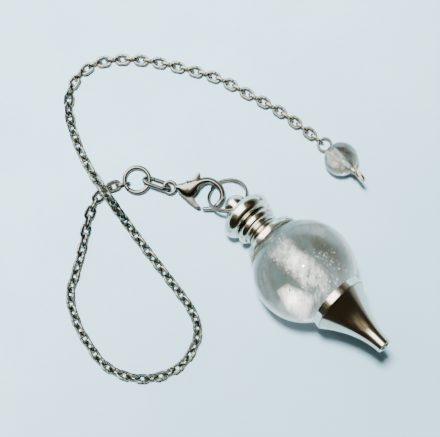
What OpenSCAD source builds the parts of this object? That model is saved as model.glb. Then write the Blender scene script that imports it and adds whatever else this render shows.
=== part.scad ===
// Crystal ball dowsing pendulum, laid out on a flat surface with its clasp and chain.
// Millimetres. The origin is under the middle of the whole layout, at the surface.
// +X runs to the right of the layout, +Y up the layout and +Z up.

/* [Ball] */
// Diameter of the clear quartz ball
ball_d = 19.5; // [17.5:0.1:22]
// Gap between the ball and each metal cap
seat_gap = 0.1; // [0.05:0.01:0.2]

/* [Cone point] */
// Largest outer diameter of the cone, at the end of its rim band
cone_rim_d = 11.8; // [10:0.1:13]
// Outer diameter of the rim where it meets the ball
cone_mouth_d = 11.5; // [10:0.1:12]
// Height of the rim band
cone_band_h = 1.5; // [0.8:0.1:1.8]
// Length of the flared part, from the rim band to the tip
cone_flare_len = 11.4; // [9:0.1:14]
// Outer diameter of the blunt tip
cone_tip_d = 3; // [2.4:0.1:4]
// How quickly the flare narrows
cone_flare_power = 1.95; // [1.4:0.05:2.4]
// Wall thickness of the cone
cone_wall = 0.45; // [0.3:0.05:0.6]

/* [Top cap] */
// Outer diameter of the cap's flange where it meets the ball
flange_d = 11.4; // [9.5:0.1:12]
// Outer diameter of the flange at its upper edge
flange_top_d = 10.5; // [9:0.1:11]
// Height of the flange
flange_h = 1.4; // [1:0.1:2.2]
// How far the flange's edge stands off the ball
flange_stand_off = 0.5; // [0:0.05:0.7]
// Diameter of the turned neck
neck_d = 5.4; // [4.8:0.1:6]
// Length of the turned stack, from the flange to the top face
stack_len = 7.6; // [6.8:0.1:9]
// Diameter of the collar that joins the flange to the neck
collar_d = 6.4; // [6:0.1:7]
// Diameter of the thin ring next to the collar
thin_ring_d = 6.8; // [6.2:0.1:7.4]
// Diameter of the middle ring
middle_ring_d = 8.5; // [7.8:0.1:9.4]
// Outer diameter of the big rounded ring
big_ring_d = 10.3; // [9.6:0.1:11.4]
// Thickness of the big ring's round edge
big_ring_roll = 3.2; // [2.6:0.1:3.4]
// Diameter of the rim disc on top of the stack
rim_disc_d = 7.6; // [7:0.1:8.4]

/* [Bail] */
// Diameter of the domed bail
bail_d = 4.5; // [4.2:0.1:5.2]
// Diameter of the cross hole in the bail
bail_hole_d = 2; // [1.8:0.05:2.2]

/* [Split ring] */
// Outer diameter of the split ring
split_ring_d = 8; // [7.6:0.1:8.4]
// Wire diameter of the split ring
split_ring_wire = 0.5; // [0.4:0.05:0.55]
// Gap between the two turns of the split ring
split_ring_turn_gap = 0.04; // [0.02:0.01:0.08]

/* [Clasp] */
// Nominal length of the lobster clasp
clasp_len = 12; // [11:0.1:13]
// Thickness of the clasp's body at its fullest
clasp_body_t = 2.4; // [2.2:0.05:2.6]
// Thickness of the clasp's hook
clasp_hook_t = 1.4; // [1.2:0.05:1.6]
// Outer diameter of the clasp's eye
clasp_eye_d = 2.9; // [2.7:0.05:3.1]
// Wire thickness of the clasp's eye
clasp_eye_wire = 0.65; // [0.55:0.05:0.75]
// Thickness of the lever
lever_t = 0.8; // [0.7:0.05:0.9]
// Diameter of the hinge pin
hinge_pin_d = 0.6; // [0.5:0.05:0.8]
// Radial running clearance of the lever on its pin
hinge_clearance = 0.04; // [0.02:0.01:0.08]

/* [Rings] */
// Length of the oval link over its wire
oval_link_len = 5.8; // [5.4:0.1:6.4]
// Width of the oval link over its wire
oval_link_w = 3.2; // [3:0.1:3.6]
// Wire diameter of the oval link
oval_link_wire = 0.8; // [0.7:0.05:0.85]
// Outer diameter of the round jump ring
jump_ring_d = 5.6; // [5.2:0.1:6.2]
// Wire diameter of the round jump ring
jump_ring_wire = 0.8; // [0.6:0.05:0.8]

/* [Chain] */
// Length of the chain from the jump ring to the bead's loop, seen from above
chain_len = 172; // [160:1:185]
// Distance from one chain link to the next
link_pitch = 1.79; // [1.7:0.01:1.9]
// Width of a chain link over its wire
link_w = 2.1; // [2.05:0.05:2.3]
// Wire diameter of a chain link
link_wire = 0.5; // [0.46:0.01:0.54]
// Play between two chain links where they pull on each other
link_play = 0.16; // [0.12:0.01:0.2]

/* [End bead] */
// Diameter of the small clear bead
bead_d = 6.5; // [6:0.1:7]
// Diameter of the hole through the bead
bead_hole_d = 0.8; // [0.7:0.05:1]
// Wire diameter of the eye pin
pin_wire = 0.5; // [0.4:0.05:0.55]
// Outer diameter of the eye pin's loops
pin_loop_d = 3; // [2.7:0.1:3.3]

/* [Hidden] */

// Gaps kept between the chain and its rings, and between the rings and the clasp
hang_gap = 0.12;
ring_gap = 0.25;
fine = 96;
medium = 48;
coarse = 24;

// The chain's route, seen from above, from the jump ring to the end bead. Its size follows
// from the chain's length.
route = [
    [-18.2, 6.7], [-20.3, 6.3], [-22.1, 5.4], [-23.5, 4.0], [-24.5, 2.2], [-25.2, 0.2],
    [-25.8, -2.4], [-26.5, -6.0], [-27.7, -10.4], [-28.7, -14.0], [-28.4, -17.2], [-27.0, -21.2],
    [-25.2, -24.2], [-22.9, -27.4], [-19.7, -29.6], [-15.6, -30.7], [-11.4, -30.2], [-7.6, -28.2],
    [-5.1, -24.8], [-4.3, -21.2], [-5.6, -17.4], [-8.9, -12.8], [-12.9, -7.6], [-16.8, -2.4],
    [-20.1, 2.4], [-22.4, 5.8], [-25.0, 9.5], [-27.2, 13.9], [-28.8, 19.2], [-28.9, 23.6],
    [-27.3, 27.2], [-24.0, 29.6], [-19.4, 30.5], [-13.4, 30.2], [-6.6, 28.7], [-0.4, 26.9],
    [5.2, 24.0], [10.4, 21.2], [15.2, 17.9], [19.1, 14.9]
];
// Place of the upper strand where the chain crosses itself, counted in rows of the route
crossing_row = 24.8;
crossing_reach = 8.5;
// Turn of the jump ring's two pulled sides, seen from above
jump_ring_in_dir = 17.7;
jump_ring_out_dir = -6;
oval_link_dir = -19;
oval_link_lean = 60;
clasp_eye_dir = -12;

function mix(a, b, t) = a + (b - a) * t;
function spline(p0, p1, p2, p3, t) = 0.5 * (
    2 * p1 + (p2 - p0) * t + (2 * p0 - 5 * p1 + 4 * p2 - p3) * t * t
    + (3 * p1 - 3 * p2 + p3 - p0) * t * t * t
);
function smooth_rows(rows, steps) = [
    for (i = [0:len(rows) - 2], k = [0:steps - 1])
        spline(rows[max(i - 1, 0)], rows[i], rows[i + 1], rows[min(i + 2, len(rows) - 1)], k / steps),
    rows[len(rows) - 1]
];
function running_length(p) = [
    for (i = 0, s = 0; i < len(p); i = i + 1, s = s + (i < len(p) ? norm(p[i] - p[i - 1]) : 0)) s
];
function column(keys, rows, j) = [for (i = [0:len(rows) - 1]) [keys[i], rows[i][j]]];
function polar(r, a) = [r * cos(a), r * sin(a)];

// Chain
route_steps = 8;
drawn_plan = smooth_rows(route, route_steps);
drawn_marks = running_length(drawn_plan);
route_size = chain_len / drawn_marks[len(drawn_marks) - 1];
route_plan = drawn_plan * route_size;
plan_marks = drawn_marks * route_size;
link_len = link_pitch + 2 * link_wire + link_play;
link_end_r = (link_w - link_wire) / 2;
link_straight = link_len - link_w;
link_lift = 0.03;
crossing_lift = link_w + 0.3;
link_count = round(chain_len / link_pitch) + 1;
// Place along the chain, as a share of its length, and the twist of its links there.
// The first and the last link stand on edge in the rings that they hang in.
end_twist = link_count % 2 == 1 ? 90 : 0;
chain_twists = [[0, 90], [0.12, 45], [0.62, 45], [0.74, end_twist - 10], [1, end_twist]];

// Heading of the bead's hole and how far its chain side points down
bead_dir = -45;
bead_tilt = 37;
// Heading and slope of the pin's loop at the chain, and the roll of its free loop
pin_loop_dir = -37.5;
pin_loop_tilt = 3;
end_loop_roll = 16;
pin_loop_r = (pin_loop_d - pin_wire) / 2;
pin_loop_gap = 0.05;
pin_neck = bead_d / 2 + pin_loop_gap + pin_wire / 2;
pin_neck_plan = route_plan[len(route_plan) - 1]
    + polar(2 * pin_loop_r * cos(pin_loop_tilt), pin_loop_dir);
pin_neck_mid = concat(pin_neck_plan, [bead_d / 2 - pin_neck * sin(bead_tilt)]);
bead_mid = concat(pin_neck_plan + polar(pin_neck * cos(bead_tilt), bead_dir), [bead_d / 2]);

function hump(d, reach) = abs(d) >= reach ? 0 : pow(cos(90 * d / reach), 2);
function lying_z(twist) =
    link_end_r * max(abs(sin(twist)), abs(cos(twist))) + link_wire / 2 + link_lift;
function lying_route_z(s) =
    lying_z(lookup(s / chain_len, chain_twists))
    + crossing_lift * hump(s - plan_marks[round(crossing_row * route_steps)], crossing_reach);
route_points = [
    for (i = [0:len(route_plan) - 1])
        [route_plan[i].x, route_plan[i].y, lying_route_z(plan_marks[i])]
];
route_marks = running_length(route_points);
route_len = route_marks[len(route_marks) - 1];
route_x = column(route_marks, route_points, 0);
route_y = column(route_marks, route_points, 1);
route_z = column(route_marks, route_points, 2);
function route_at(s) = [lookup(s, route_x), lookup(s, route_y), lookup(s, route_z)];
first_link_s = link_len / 2 - link_wire - hang_gap - jump_ring_wire / 2;
last_link_s = route_len - (link_len / 2 - link_wire - hang_gap - pin_wire / 2);
link_step = (last_link_s - first_link_s) / (link_count - 1);
LINK_MID = 0;
LINK_TWIST = 1;
LINK_SLOPE = 2;
LINK_HEADING = 3;
// Each link's row holds its middle, its twist, its slope and its heading
chain_rows = [
    for (i = [0:link_count - 1])
        let (
            s = first_link_s + i * link_step,
            a = route_at(max(s - link_step / 2, 0)),
            b = route_at(min(s + link_step / 2, route_len)),
            d = b - a,
            twist = lookup(s / route_len, chain_twists) + 90 * (i % 2)
        )
        [route_at(s), twist, atan2(d.z, norm([d.x, d.y])), atan2(d.y, d.x)]
];

// Jump ring, oval link and clasp eye, each hanging in the one before it
jump_ring_r = (jump_ring_d - jump_ring_wire) / 2;
jump_ring_z = lying_z(90);
jump_ring_mid = route_plan[0] + polar(jump_ring_r, jump_ring_in_dir);
jump_ring_out = jump_ring_mid + polar(jump_ring_r, jump_ring_out_dir);
oval_end_r = (oval_link_w - oval_link_wire) / 2;
oval_straight = oval_link_len - oval_link_w;
oval_link_z = oval_end_r * sin(oval_link_lean) + oval_link_wire / 2;
oval_link_start = jump_ring_out
    - polar((jump_ring_wire + oval_link_wire) / 2 + ring_gap, oval_link_dir);
oval_link_mid = oval_link_start + polar((oval_link_len - oval_link_wire) / 2, oval_link_dir);
oval_link_stop = oval_link_start + polar(oval_link_len - oval_link_wire, oval_link_dir);
jump_ring_rise = atan2(oval_link_z - jump_ring_z, norm(jump_ring_out - route_plan[0]));
clasp_eye_r = (clasp_eye_d - clasp_eye_wire) / 2;
clasp_eye_mid = oval_link_stop
    - polar((oval_link_wire + clasp_eye_wire) / 2 + ring_gap, oval_link_dir)
    + polar(clasp_eye_r, clasp_eye_dir);
clasp_eye_z = oval_link_z - 0.1;

// Clasp: plan of its body, from the eye round to the hook's end, measured from the eye
// in twelfths of the clasp's length
clasp_unit = clasp_len / 12;
CLASP_X = 0;
CLASP_Y = 1;
CLASP_W = 2;
CLASP_T = 3;
// Rows are x, y, width and thickness, the last as a share of the body's thickness
clasp_plan = [
    [1.10, 0.00, 0.80, 0.46], [1.95, -0.12, 1.85, 0.76], [2.90, -0.36, 3.05, 0.95],
    [3.75, -0.30, 3.65, 1.00], [4.60, 0.18, 2.95, 0.98], [5.45, 0.78, 2.10, 0.88],
    [6.50, 1.24, 1.40, 0.72], [7.60, 1.34, 1.15, 0.63], [8.75, 0.85, 1.12, 0.60],
    [9.70, -0.08, 1.12, 0.58], [10.12, -1.30, 1.10, 0.58], [9.92, -2.40, 1.05, 0.57],
    [9.25, -3.28, 0.98, 0.55], [8.40, -3.86, 0.88, 0.52], [7.40, -4.10, 0.80, 0.48],
    [6.50, -4.10, 0.68, 0.44], [6.25, -4.08, 0.40, 0.28]
];
clasp_sides = 12;
lever_pivot = [3.4, -0.3] * clasp_unit;
lever_gap = 0.1;
pin_fit_gap = 0.02;
pin_inset = 0.1;
// Outlines of the lever and of its slot in the body, in the same twelfths
lever_plan = [
    [1.5, -0.95], [2.6, -2.05], [3.75, -3.1], [4.9, -3.95], [5.6, -4.2],
    [5.9, -4.05], [5.95, -3.8], [5.3, -3.2], [4.7, -2.2], [4.5, -0.8],
    [4.55, 0.3], [5.9, 1.6], [5.85, 2.7], [5.65, 2.9], [5.35, 2.85],
    [4.4, 1.75], [3.2, 0.6], [2.5, 0.2]
];
lever_slot_plan = [
    [1.5, -4], [1.5, -0.2], [2.3, 0.6], [3.1, 1], [3.3, 3], [6.5, 3],
    [6.2, 1.3], [5.8, 0.4], [6.3, -1], [5, -4]
];

// Split ring: it hangs in the bail's hole and lies on the surface at its far side
split_ring_r = (split_ring_d - split_ring_wire) / 2;
split_ring_turn = split_ring_wire + split_ring_turn_gap;
// Heading of the ring's level diameter and the place of the bail round the ring from it
split_ring_dir = 16.8;
split_ring_bail_at = 73.8;
// Angle from the bail on to the wire's first end
split_ring_end_past_bail = 150;
// Middle of the split ring, seen from above, from the clasp's eye
split_ring_offset = [11.1, -1.6] * clasp_unit;

// Bob: measured along its axis from the ball's centre
ball_r = ball_d / 2;
bob_dir = -43.5;
seat_r = ball_r + seat_gap;
flange_foot = sqrt(pow(seat_r, 2) - pow(flange_d / 2, 2)) + flange_stand_off;
flange_top = flange_foot + flange_h;
stack_top = flange_top + stack_len;
rim_disc_h = 0.5;
rim_disc_sink = 0.35;
big_ring_at = stack_top - rim_disc_h - big_ring_roll / 2 + rim_disc_sink;
big_ring_core_r = (big_ring_d - big_ring_roll) / 2;
// Places of the smaller rings, as shares of the way from the flange to the big ring
collar_place = 0.18;
thin_ring_place = 0.325;
middle_ring_place = 0.525;
// Thickness of the smaller rings' round edges
collar_roll = 0.9;
thin_ring_roll = 0.7;
middle_ring_roll = 2;
cone_mouth = sqrt(pow(seat_r, 2) - pow(cone_mouth_d / 2, 2));
cone_flare_at = cone_mouth + cone_band_h;
cone_tip = cone_flare_at + cone_flare_len;
// The bob rests on the ball and on the big ring
bob_tilt = asin((ball_r - big_ring_roll / 2) / norm([big_ring_at, big_ring_core_r]))
    - atan2(big_ring_core_r, big_ring_at);
bail_proud = 0.85;
bail_hole_lip = 0.4;
bail_at = stack_top + bail_proud;
bail_hole_at = stack_top + split_ring_wire / 2 + bail_hole_lip;
bail_hole_up = 0.8;

// How far the ring's bow leaves a straight line inside the bail, halved
bail_bow = (split_ring_r - sqrt(pow(split_ring_r, 2) - pow(bail_d / 2, 2))) / 2;

function bob_point(along, up) = [
    -along * cos(bob_tilt) * cos(bob_dir) - up * sin(bob_tilt) * cos(bob_dir),
    -along * cos(bob_tilt) * sin(bob_dir) - up * sin(bob_tilt) * sin(bob_dir),
    ball_r - along * sin(bob_tilt) + up * cos(bob_tilt)
];
bail_hole_z = bob_point(bail_hole_at, bail_hole_up).z;
split_ring_low_z = split_ring_wire / 2 + split_ring_turn / 2;
split_ring_lean = asin(
    (bail_hole_z - split_ring_low_z)
    / (split_ring_r + (split_ring_r - bail_bow) * sin(split_ring_bail_at))
);
split_ring_z = split_ring_low_z + split_ring_r * sin(split_ring_lean);
split_ring_mid = [
    clasp_eye_mid.x + split_ring_offset.x, clasp_eye_mid.y + split_ring_offset.y, split_ring_z
];
function split_ring_point(a, r) = split_ring_mid + r * [
    cos(a) * cos(split_ring_dir) + sin(a) * cos(split_ring_lean) * sin(split_ring_dir),
    cos(a) * sin(split_ring_dir) - sin(a) * cos(split_ring_lean) * cos(split_ring_dir),
    sin(a) * sin(split_ring_lean)
];
bail_hole_mid = split_ring_point(split_ring_bail_at, split_ring_r - bail_bow);
bail_hole_way = split_ring_point(split_ring_bail_at + 90, 1) - split_ring_mid;
ball_mid = bail_hole_mid - bob_point(bail_hole_at, bail_hole_up) + [0, 0, ball_r];

// The clasp leans so that its hook passes over the split ring's low side
hook_crossing_reach = 9.6 * clasp_unit;
hook_crossing_at = -109;
hook_crossing_z = split_ring_point(hook_crossing_at, split_ring_r).z + split_ring_turn / 2
    + split_ring_wire / 2 + ring_gap + clasp_hook_t / 2;
clasp_rise = atan2(hook_crossing_z - clasp_eye_z, hook_crossing_reach);
clasp_roll = 3.5;

// The middle of the whole layout, from the reach of the chain's links and of the cone's tip
function link_reach(row, i) =
    let (
        t = row[LINK_TWIST],
        s = row[LINK_SLOPE],
        h = row[LINK_HEADING],
        u = [cos(h) * cos(s), sin(h) * cos(s)],
        v = [
            -sin(t) * sin(s) * cos(h) - cos(t) * sin(h),
            -sin(t) * sin(s) * sin(h) + cos(t) * cos(h)
        ]
    )
    link_straight / 2 * abs(u[i]) + link_end_r * norm([u[i], v[i]]) + link_wire / 2;
tip_way = -bob_point(1, 0) + [0, 0, ball_r];
tip_mid = ball_mid + cone_tip * tip_way;
function tip_reach(i) = cone_tip_d / 2 * sqrt(1 - pow(tip_way[i], 2));
function layout_low(i) =
    min([for (row = chain_rows) row[LINK_MID][i] - link_reach(row, i), tip_mid[i] - tip_reach(i)]);
function layout_high(i) =
    max([for (row = chain_rows) row[LINK_MID][i] + link_reach(row, i), tip_mid[i] + tip_reach(i)]);
layout_mid = [for (i = [0, 1]) (layout_low(i) + layout_high(i)) / 2];

module at_layout() {
    translate([-layout_mid.x, -layout_mid.y, 0])
        children();
}

module quartz_ball() {
    color("whitesmoke", 0.6)
        at_layout()
            translate(ball_mid)
                sphere(d = ball_d, $fn = fine);
}

module along_bob() {
    translate(ball_mid)
        rotate([0, 90 - bob_tilt, bob_dir])
            children();
}

// The cone's wall starts inside its seat on the ball, which trims it
module cone_point() {
    steps = 14;
    wall_from = cone_mouth - 0.3;
    flare = [
        for (i = [0:steps])
            [
                mix(cone_tip_d, cone_rim_d, pow(1 - i / steps, cone_flare_power)) / 2,
                cone_flare_at + cone_flare_len * i / steps
            ]
    ];
    color("silver")
        at_layout()
            along_bob()
                difference() {
                    rotate_extrude($fn = fine)
                        polygon(concat(
                            [[cone_mouth_d / 2, wall_from], [cone_mouth_d / 2, cone_mouth]],
                            flare,
                            [for (i = [steps:-1:0]) flare[i] - [cone_wall, 0]],
                            [[cone_mouth_d / 2 - cone_wall, wall_from]]
                        ));
                    sphere(r = seat_r, $fn = fine);
                }
}

module stack_ring(at, d, roll) {
    translate([d / 2 - roll / 2, at])
        circle(d = roll, $fn = medium);
    translate([0, at - roll / 2])
        square([d / 2 - roll / 2, roll]);
}

module top_cap_profile() {
    polygon([
        [0, flange_foot],
        [flange_d / 2, flange_foot],
        [flange_d / 2, flange_foot + flange_h * 0.2],
        [flange_top_d / 2, flange_top],
        [flange_top_d * 0.38, flange_top + 0.3],
        [neck_d / 2, flange_top + 0.8],
        [neck_d / 2, stack_top - 0.1],
        [0, stack_top - 0.1]
    ]);
    stack_ring(mix(flange_top, big_ring_at, collar_place), collar_d, collar_roll);
    stack_ring(mix(flange_top, big_ring_at, thin_ring_place), thin_ring_d, thin_ring_roll);
    stack_ring(
        mix(flange_top, big_ring_at, middle_ring_place), middle_ring_d, middle_ring_roll
    );
    stack_ring(big_ring_at, big_ring_d, big_ring_roll);
    translate([0, stack_top - rim_disc_h])
        square([rim_disc_d / 2, rim_disc_h]);
}

module top_cap() {
    color("silver")
        at_layout()
            difference() {
                union() {
                    along_bob()
                        mirror([0, 0, 1])
                            difference() {
                                rotate_extrude($fn = fine)
                                    top_cap_profile();
                                sphere(r = seat_r, $fn = fine);
                            }
                    along_bob()
                        translate([0, 0, -bail_at])
                            sphere(d = bail_d, $fn = fine);
                }
                translate(bail_hole_mid)
                    rotate([0, acos(bail_hole_way.z), atan2(bail_hole_way.y, bail_hole_way.x)])
                        cylinder(d = bail_hole_d, h = bail_d * 1.15, center = true, $fn = medium);
            }
}

function unit(v) = v / norm(v);

// A closed skin through rings of points, with a flat cap at each end
module skin(rings) {
    n = len(rings);
    sides = len(rings[0]);
    polyhedron(
        points = [for (ring = rings) each ring],
        faces = concat(
            [[for (k = [0:sides - 1]) k]],
            [
                for (i = [0:n - 2], k = [0:sides - 1])
                    [
                        i * sides + k, (i + 1) * sides + k,
                        (i + 1) * sides + (k + 1) % sides, i * sides + (k + 1) % sides
                    ]
            ],
            [[for (k = [sides - 1:-1:0]) (n - 1) * sides + k]]
        ),
        convexity = 6
    );
}

// Two flat turns of wire, which cross over where only one turn lies
module split_ring() {
    turns = 1.88;
    turn_steps = 50;
    wire_sides = 10;
    steps = round(turns * turn_steps);
    start = split_ring_bail_at + split_ring_end_past_bail;
    level = split_ring_point(0, 1) - split_ring_mid;
    rising = split_ring_point(90, 1) - split_ring_mid;
    up = unit(cross(level, rising));
    color("silver")
        at_layout()
            skin([
                for (i = [0:steps])
                    let (
                        a = start + 360 * turns * i / steps,
                        out = split_ring_point(a, 1) - split_ring_mid,
                        turn = min(max((i / steps * turns - turns + 1) / (2 - turns), 0), 1) - 0.5,
                        mid = split_ring_mid + out * split_ring_r + up * split_ring_turn * turn
                    )
                    [
                        for (k = [0:wire_sides - 1])
                            let (b = 360 * k / wire_sides)
                            mid + split_ring_wire / 2 * (out * cos(b) + up * sin(b))
                    ]
            ]);
}

module at_clasp() {
    translate([clasp_eye_mid.x, clasp_eye_mid.y, clasp_eye_z])
        rotate([clasp_roll, -clasp_rise, 0])
            children();
}

module clasp_form() {
    rows = smooth_rows(clasp_plan, 3);
    skin([
        for (i = [0:len(rows) - 1])
            let (
                ahead = rows[min(i + 1, len(rows) - 1)] - rows[max(i - 1, 0)],
                side = unit([-ahead[CLASP_Y], ahead[CLASP_X], 0]),
                mid = clasp_unit * [rows[i][CLASP_X], rows[i][CLASP_Y], 0],
                w = clasp_unit * rows[i][CLASP_W] / 2,
                t = rows[i][CLASP_T] * clasp_body_t / 2
            )
            [
                for (k = [0:clasp_sides - 1])
                    let (a = 360 * k / clasp_sides)
                    mid + side * w * cos(a) + [0, 0, t * sin(a)]
            ]
    ]);
}

module clasp_body() {
    color("silver")
        at_layout()
            at_clasp()
                difference() {
                    union() {
                        rotate_extrude($fn = medium)
                            translate([clasp_eye_r, 0])
                                circle(d = clasp_eye_wire, $fn = coarse);
                        clasp_form();
                    }
                    linear_extrude(lever_t + 2 * lever_gap, center = true)
                        polygon(lever_slot_plan * clasp_unit);
                    translate([lever_pivot.x, lever_pivot.y, 0])
                        cylinder(
                            d = hinge_pin_d + 2 * pin_fit_gap, h = 2 * clasp_body_t,
                            center = true, $fn = medium
                        );
                }
}

module clasp_lever() {
    color("silver")
        at_layout()
            at_clasp()
                linear_extrude(lever_t, center = true)
                    difference() {
                        polygon(lever_plan * clasp_unit);
                        translate(lever_pivot)
                            circle(d = hinge_pin_d + 2 * hinge_clearance, $fn = medium);
                    }
}

module clasp_pin() {
    color("silver")
        at_layout()
            at_clasp()
                translate([lever_pivot.x, lever_pivot.y, 0])
                    cylinder(
                        d = hinge_pin_d, h = clasp_body_t - 2 * pin_inset,
                        center = true, $fn = medium
                    );
}

// A stadium-shaped link of round wire in its own flat plane, its length along X
module wire_link(straight, end_r, wire) {
    for (side = [0, 180])
        rotate(side) {
            translate([straight / 2, 0, 0])
                rotate(-90)
                    rotate_extrude(angle = 180, $fn = medium)
                        translate([end_r, 0])
                            circle(d = wire, $fn = coarse);
            translate([-straight / 2, end_r, 0])
                rotate([0, 90, 0])
                    cylinder(d = wire, h = straight, $fn = coarse);
        }
}

module oval_link() {
    color("silver")
        at_layout()
            translate([oval_link_mid.x, oval_link_mid.y, oval_link_z])
                rotate([-oval_link_lean, 0, oval_link_dir])
                    wire_link(oval_straight, oval_end_r, oval_link_wire);
}

module jump_ring() {
    rise_z = (jump_ring_z + oval_link_z) / 2;
    way = jump_ring_out - route_plan[0];
    color("silver")
        at_layout()
            translate([jump_ring_mid.x, jump_ring_mid.y, rise_z])
                rotate([0, -jump_ring_rise, atan2(way.y, way.x)])
                    rotate_extrude($fn = fine)
                        translate([jump_ring_r, 0])
                            circle(d = jump_ring_wire, $fn = coarse);
}

module chain() {
    color("silver")
        at_layout()
            for (row = chain_rows)
                translate(row[LINK_MID])
                    rotate([row[LINK_TWIST], -row[LINK_SLOPE], row[LINK_HEADING]])
                        wire_link(link_straight, link_end_r, link_wire);
}

module along_bead() {
    translate(bead_mid)
        rotate([0, -bead_tilt, bead_dir])
            children();
}

module end_bead() {
    color("whitesmoke", 0.7)
        at_layout()
            along_bead()
                difference() {
                    sphere(d = bead_d, $fn = fine);
                    rotate([0, 90, 0])
                        cylinder(d = bead_hole_d, h = 2 * bead_d, center = true, $fn = medium);
                }
}

module pin_loop() {
    rotate_extrude($fn = medium)
        translate([pin_loop_r, 0])
            circle(d = pin_wire, $fn = coarse);
}

module eye_pin() {
    wraps = 3;
    wrap_step = pin_wire * 0.85;
    wrap_r = pin_wire * 0.85;
    wrap_at = bead_d / 2 + 2 * pin_loop_gap + pin_wire / 2;
    wraps_len = (wraps - 1) * wrap_step;
    end_loop_at = wrap_at + wraps_len + pin_wire * 0.4 + pin_loop_r;
    color("silver")
        at_layout() {
            translate(pin_neck_mid)
                rotate([0, -pin_loop_tilt, pin_loop_dir])
                    translate([-pin_loop_r, 0, 0])
                        pin_loop();
            along_bead() {
                translate([-pin_neck, 0, 0])
                    rotate([0, 90, 0])
                        cylinder(
                            d = pin_wire * 0.92, h = pin_neck + end_loop_at - pin_loop_r, $fn = medium
                        );
                translate([wrap_at, 0, 0])
                    rotate([0, 90, 0])
                        cylinder(r = wrap_r, h = wraps_len, $fn = medium);
                for (k = [0:wraps - 1])
                    translate([wrap_at + k * wrap_step, 0, 0])
                        rotate([0, 90, 0])
                            rotate_extrude($fn = medium)
                                translate([wrap_r, 0])
                                    circle(d = pin_wire, $fn = coarse);
                translate([end_loop_at, 0, 0])
                    rotate([90 - end_loop_roll, 0, 0])
                        pin_loop();
            }
        }
}

quartz_ball();
cone_point();
top_cap();
split_ring();
clasp_body();
clasp_lever();
clasp_pin();
oval_link();
jump_ring();
chain();
end_bead();
eye_pin();
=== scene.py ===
"""Looks of a crystal ball dowsing pendulum that lies on a pale surface.

Lengths are in millimetres in the classes below and become metres where a mesh is made.
Every surface is worked out as whole numpy arrays: a profile turned round an axis, a section
carried along a path, or a sheet over two parameters.
"""
from __future__ import annotations

import logging
import math
from dataclasses import dataclass, field
from enum import Enum

import bmesh
import bpy
import numpy as np
from mathutils import Matrix

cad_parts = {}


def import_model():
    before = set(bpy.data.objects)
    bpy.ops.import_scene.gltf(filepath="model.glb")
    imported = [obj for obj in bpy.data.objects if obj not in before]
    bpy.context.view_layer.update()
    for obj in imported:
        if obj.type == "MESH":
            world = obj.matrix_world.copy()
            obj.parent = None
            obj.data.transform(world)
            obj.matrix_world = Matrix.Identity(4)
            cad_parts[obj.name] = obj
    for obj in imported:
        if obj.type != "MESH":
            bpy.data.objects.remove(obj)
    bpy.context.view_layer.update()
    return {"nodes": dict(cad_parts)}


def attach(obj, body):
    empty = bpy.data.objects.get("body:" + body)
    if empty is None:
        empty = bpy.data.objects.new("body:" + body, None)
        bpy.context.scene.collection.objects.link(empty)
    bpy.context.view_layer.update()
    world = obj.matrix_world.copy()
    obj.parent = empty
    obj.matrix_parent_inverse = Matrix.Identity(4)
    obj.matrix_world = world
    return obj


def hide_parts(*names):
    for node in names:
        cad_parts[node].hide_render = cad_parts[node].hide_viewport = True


LOG = logging.getLogger("pendulum")
MM = 0.001
FULL_TURN = 2 * math.pi
UP = np.array([0.0, 0.0, 1.0])
WELD_MM = 0.0005
CHAIN_WELD_MM = 0.002
NEARLY_NOUGHT = 1e-6
BOB_HEADING = -43.5

# The most of a side that a rounded corner takes up
MOST_REACH = 0.499
# Where painted shade starts on a wire's sides, over how much it grows, and how strong it gets: a dark outline
# painted along each wire's two sides for the shade and dark reflections there
EDGE_FROM = 0.66
EDGE_FADE = 0.3
EDGE_PAINTED_SHADE = 0.8
# The turn in degrees from which an edge is sharp, by the kind of surface
SMOOTH_DEG = 180
BEAD_DEG = 60
WIRE_DEG = 50
TURNED_DEG = 30
FACET_DEG = 5
# The depth of relief in metres, by the kind of material
PLATING_DEPTH = 0.00002
STONE_DEPTH = 0.00003
VEIL_DEPTH = 0.0002

Array = np.ndarray
Pair = tuple[float, float]
Triple = tuple[float, float, float]
Colour = tuple[float, float, float, float]
Row = tuple[float, ...]
FleckRow = tuple[Triple, Triple, int, Pair, int]
Node = bpy.types.Node
Socket = bpy.types.NodeSocket
NodeTree = bpy.types.NodeTree


class Body(Enum):
    """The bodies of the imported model."""

    MAIN = "main"
    LEVER = "lever"


class Slot(Enum):
    """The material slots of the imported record."""

    QUARTZ = "quartz"
    BEAD = "bead_quartz"
    POLISHED = "polished_plating"
    FINDING = "finding_plating"
    CHAIN = "chain_plating"


# Numbers and frames

def unit(way: Array) -> Array:
    """Returns each row of an array of vectors at length one."""
    return way / np.linalg.norm(way, axis=-1, keepdims=True)


def circle(a: Array) -> Array:
    """Returns the point (cos a, sin a) for each angle."""
    return np.stack([np.cos(a), np.sin(a)], axis=-1)


def level(a: Array) -> Array:
    """Returns the point (cos a, sin a, 0) for each angle."""
    return np.stack([np.cos(a), np.sin(a), 0 * a], axis=-1)


def turn(axis: str, degrees: float) -> Array:
    """Gives the matrix of a turn about one axis of the frame.

    Args:
        axis: x, y or z.
        degrees: the turn, by the right-hand rule.

    Returns:
        A 3 by 3 matrix for column vectors.
    """
    c, s = math.cos(math.radians(degrees)), math.sin(math.radians(degrees))
    i, j = {"x": (1, 2), "y": (2, 0), "z": (0, 1)}[axis]
    matrix = np.eye(3)
    matrix[[i, i, j, j], [i, j, i, j]] = c, -s, s, c
    return matrix


@dataclass(frozen=True)
class Place:
    """Where a piece sits: its origin, and its three axes as the columns of a matrix."""

    origin: Array | Triple
    axes: Array

    def to_frame(self, points: Array) -> Array:
        """Returns points along the axes as points of the model's frame."""
        return points @ self.axes.T + np.array(self.origin)


@dataclass
class Shape:
    """A surface before it becomes a mesh: points, faces and a mask for each point, which paints shade and
    tarnish on metal and gives a veil its density.
    """

    points: Array
    faces: Array
    point_mask: Array

    def at(self, place: Place) -> Shape:
        """Returns the same surface at a place."""
        return Shape(place.to_frame(self.points), self.faces, self.point_mask)


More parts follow.
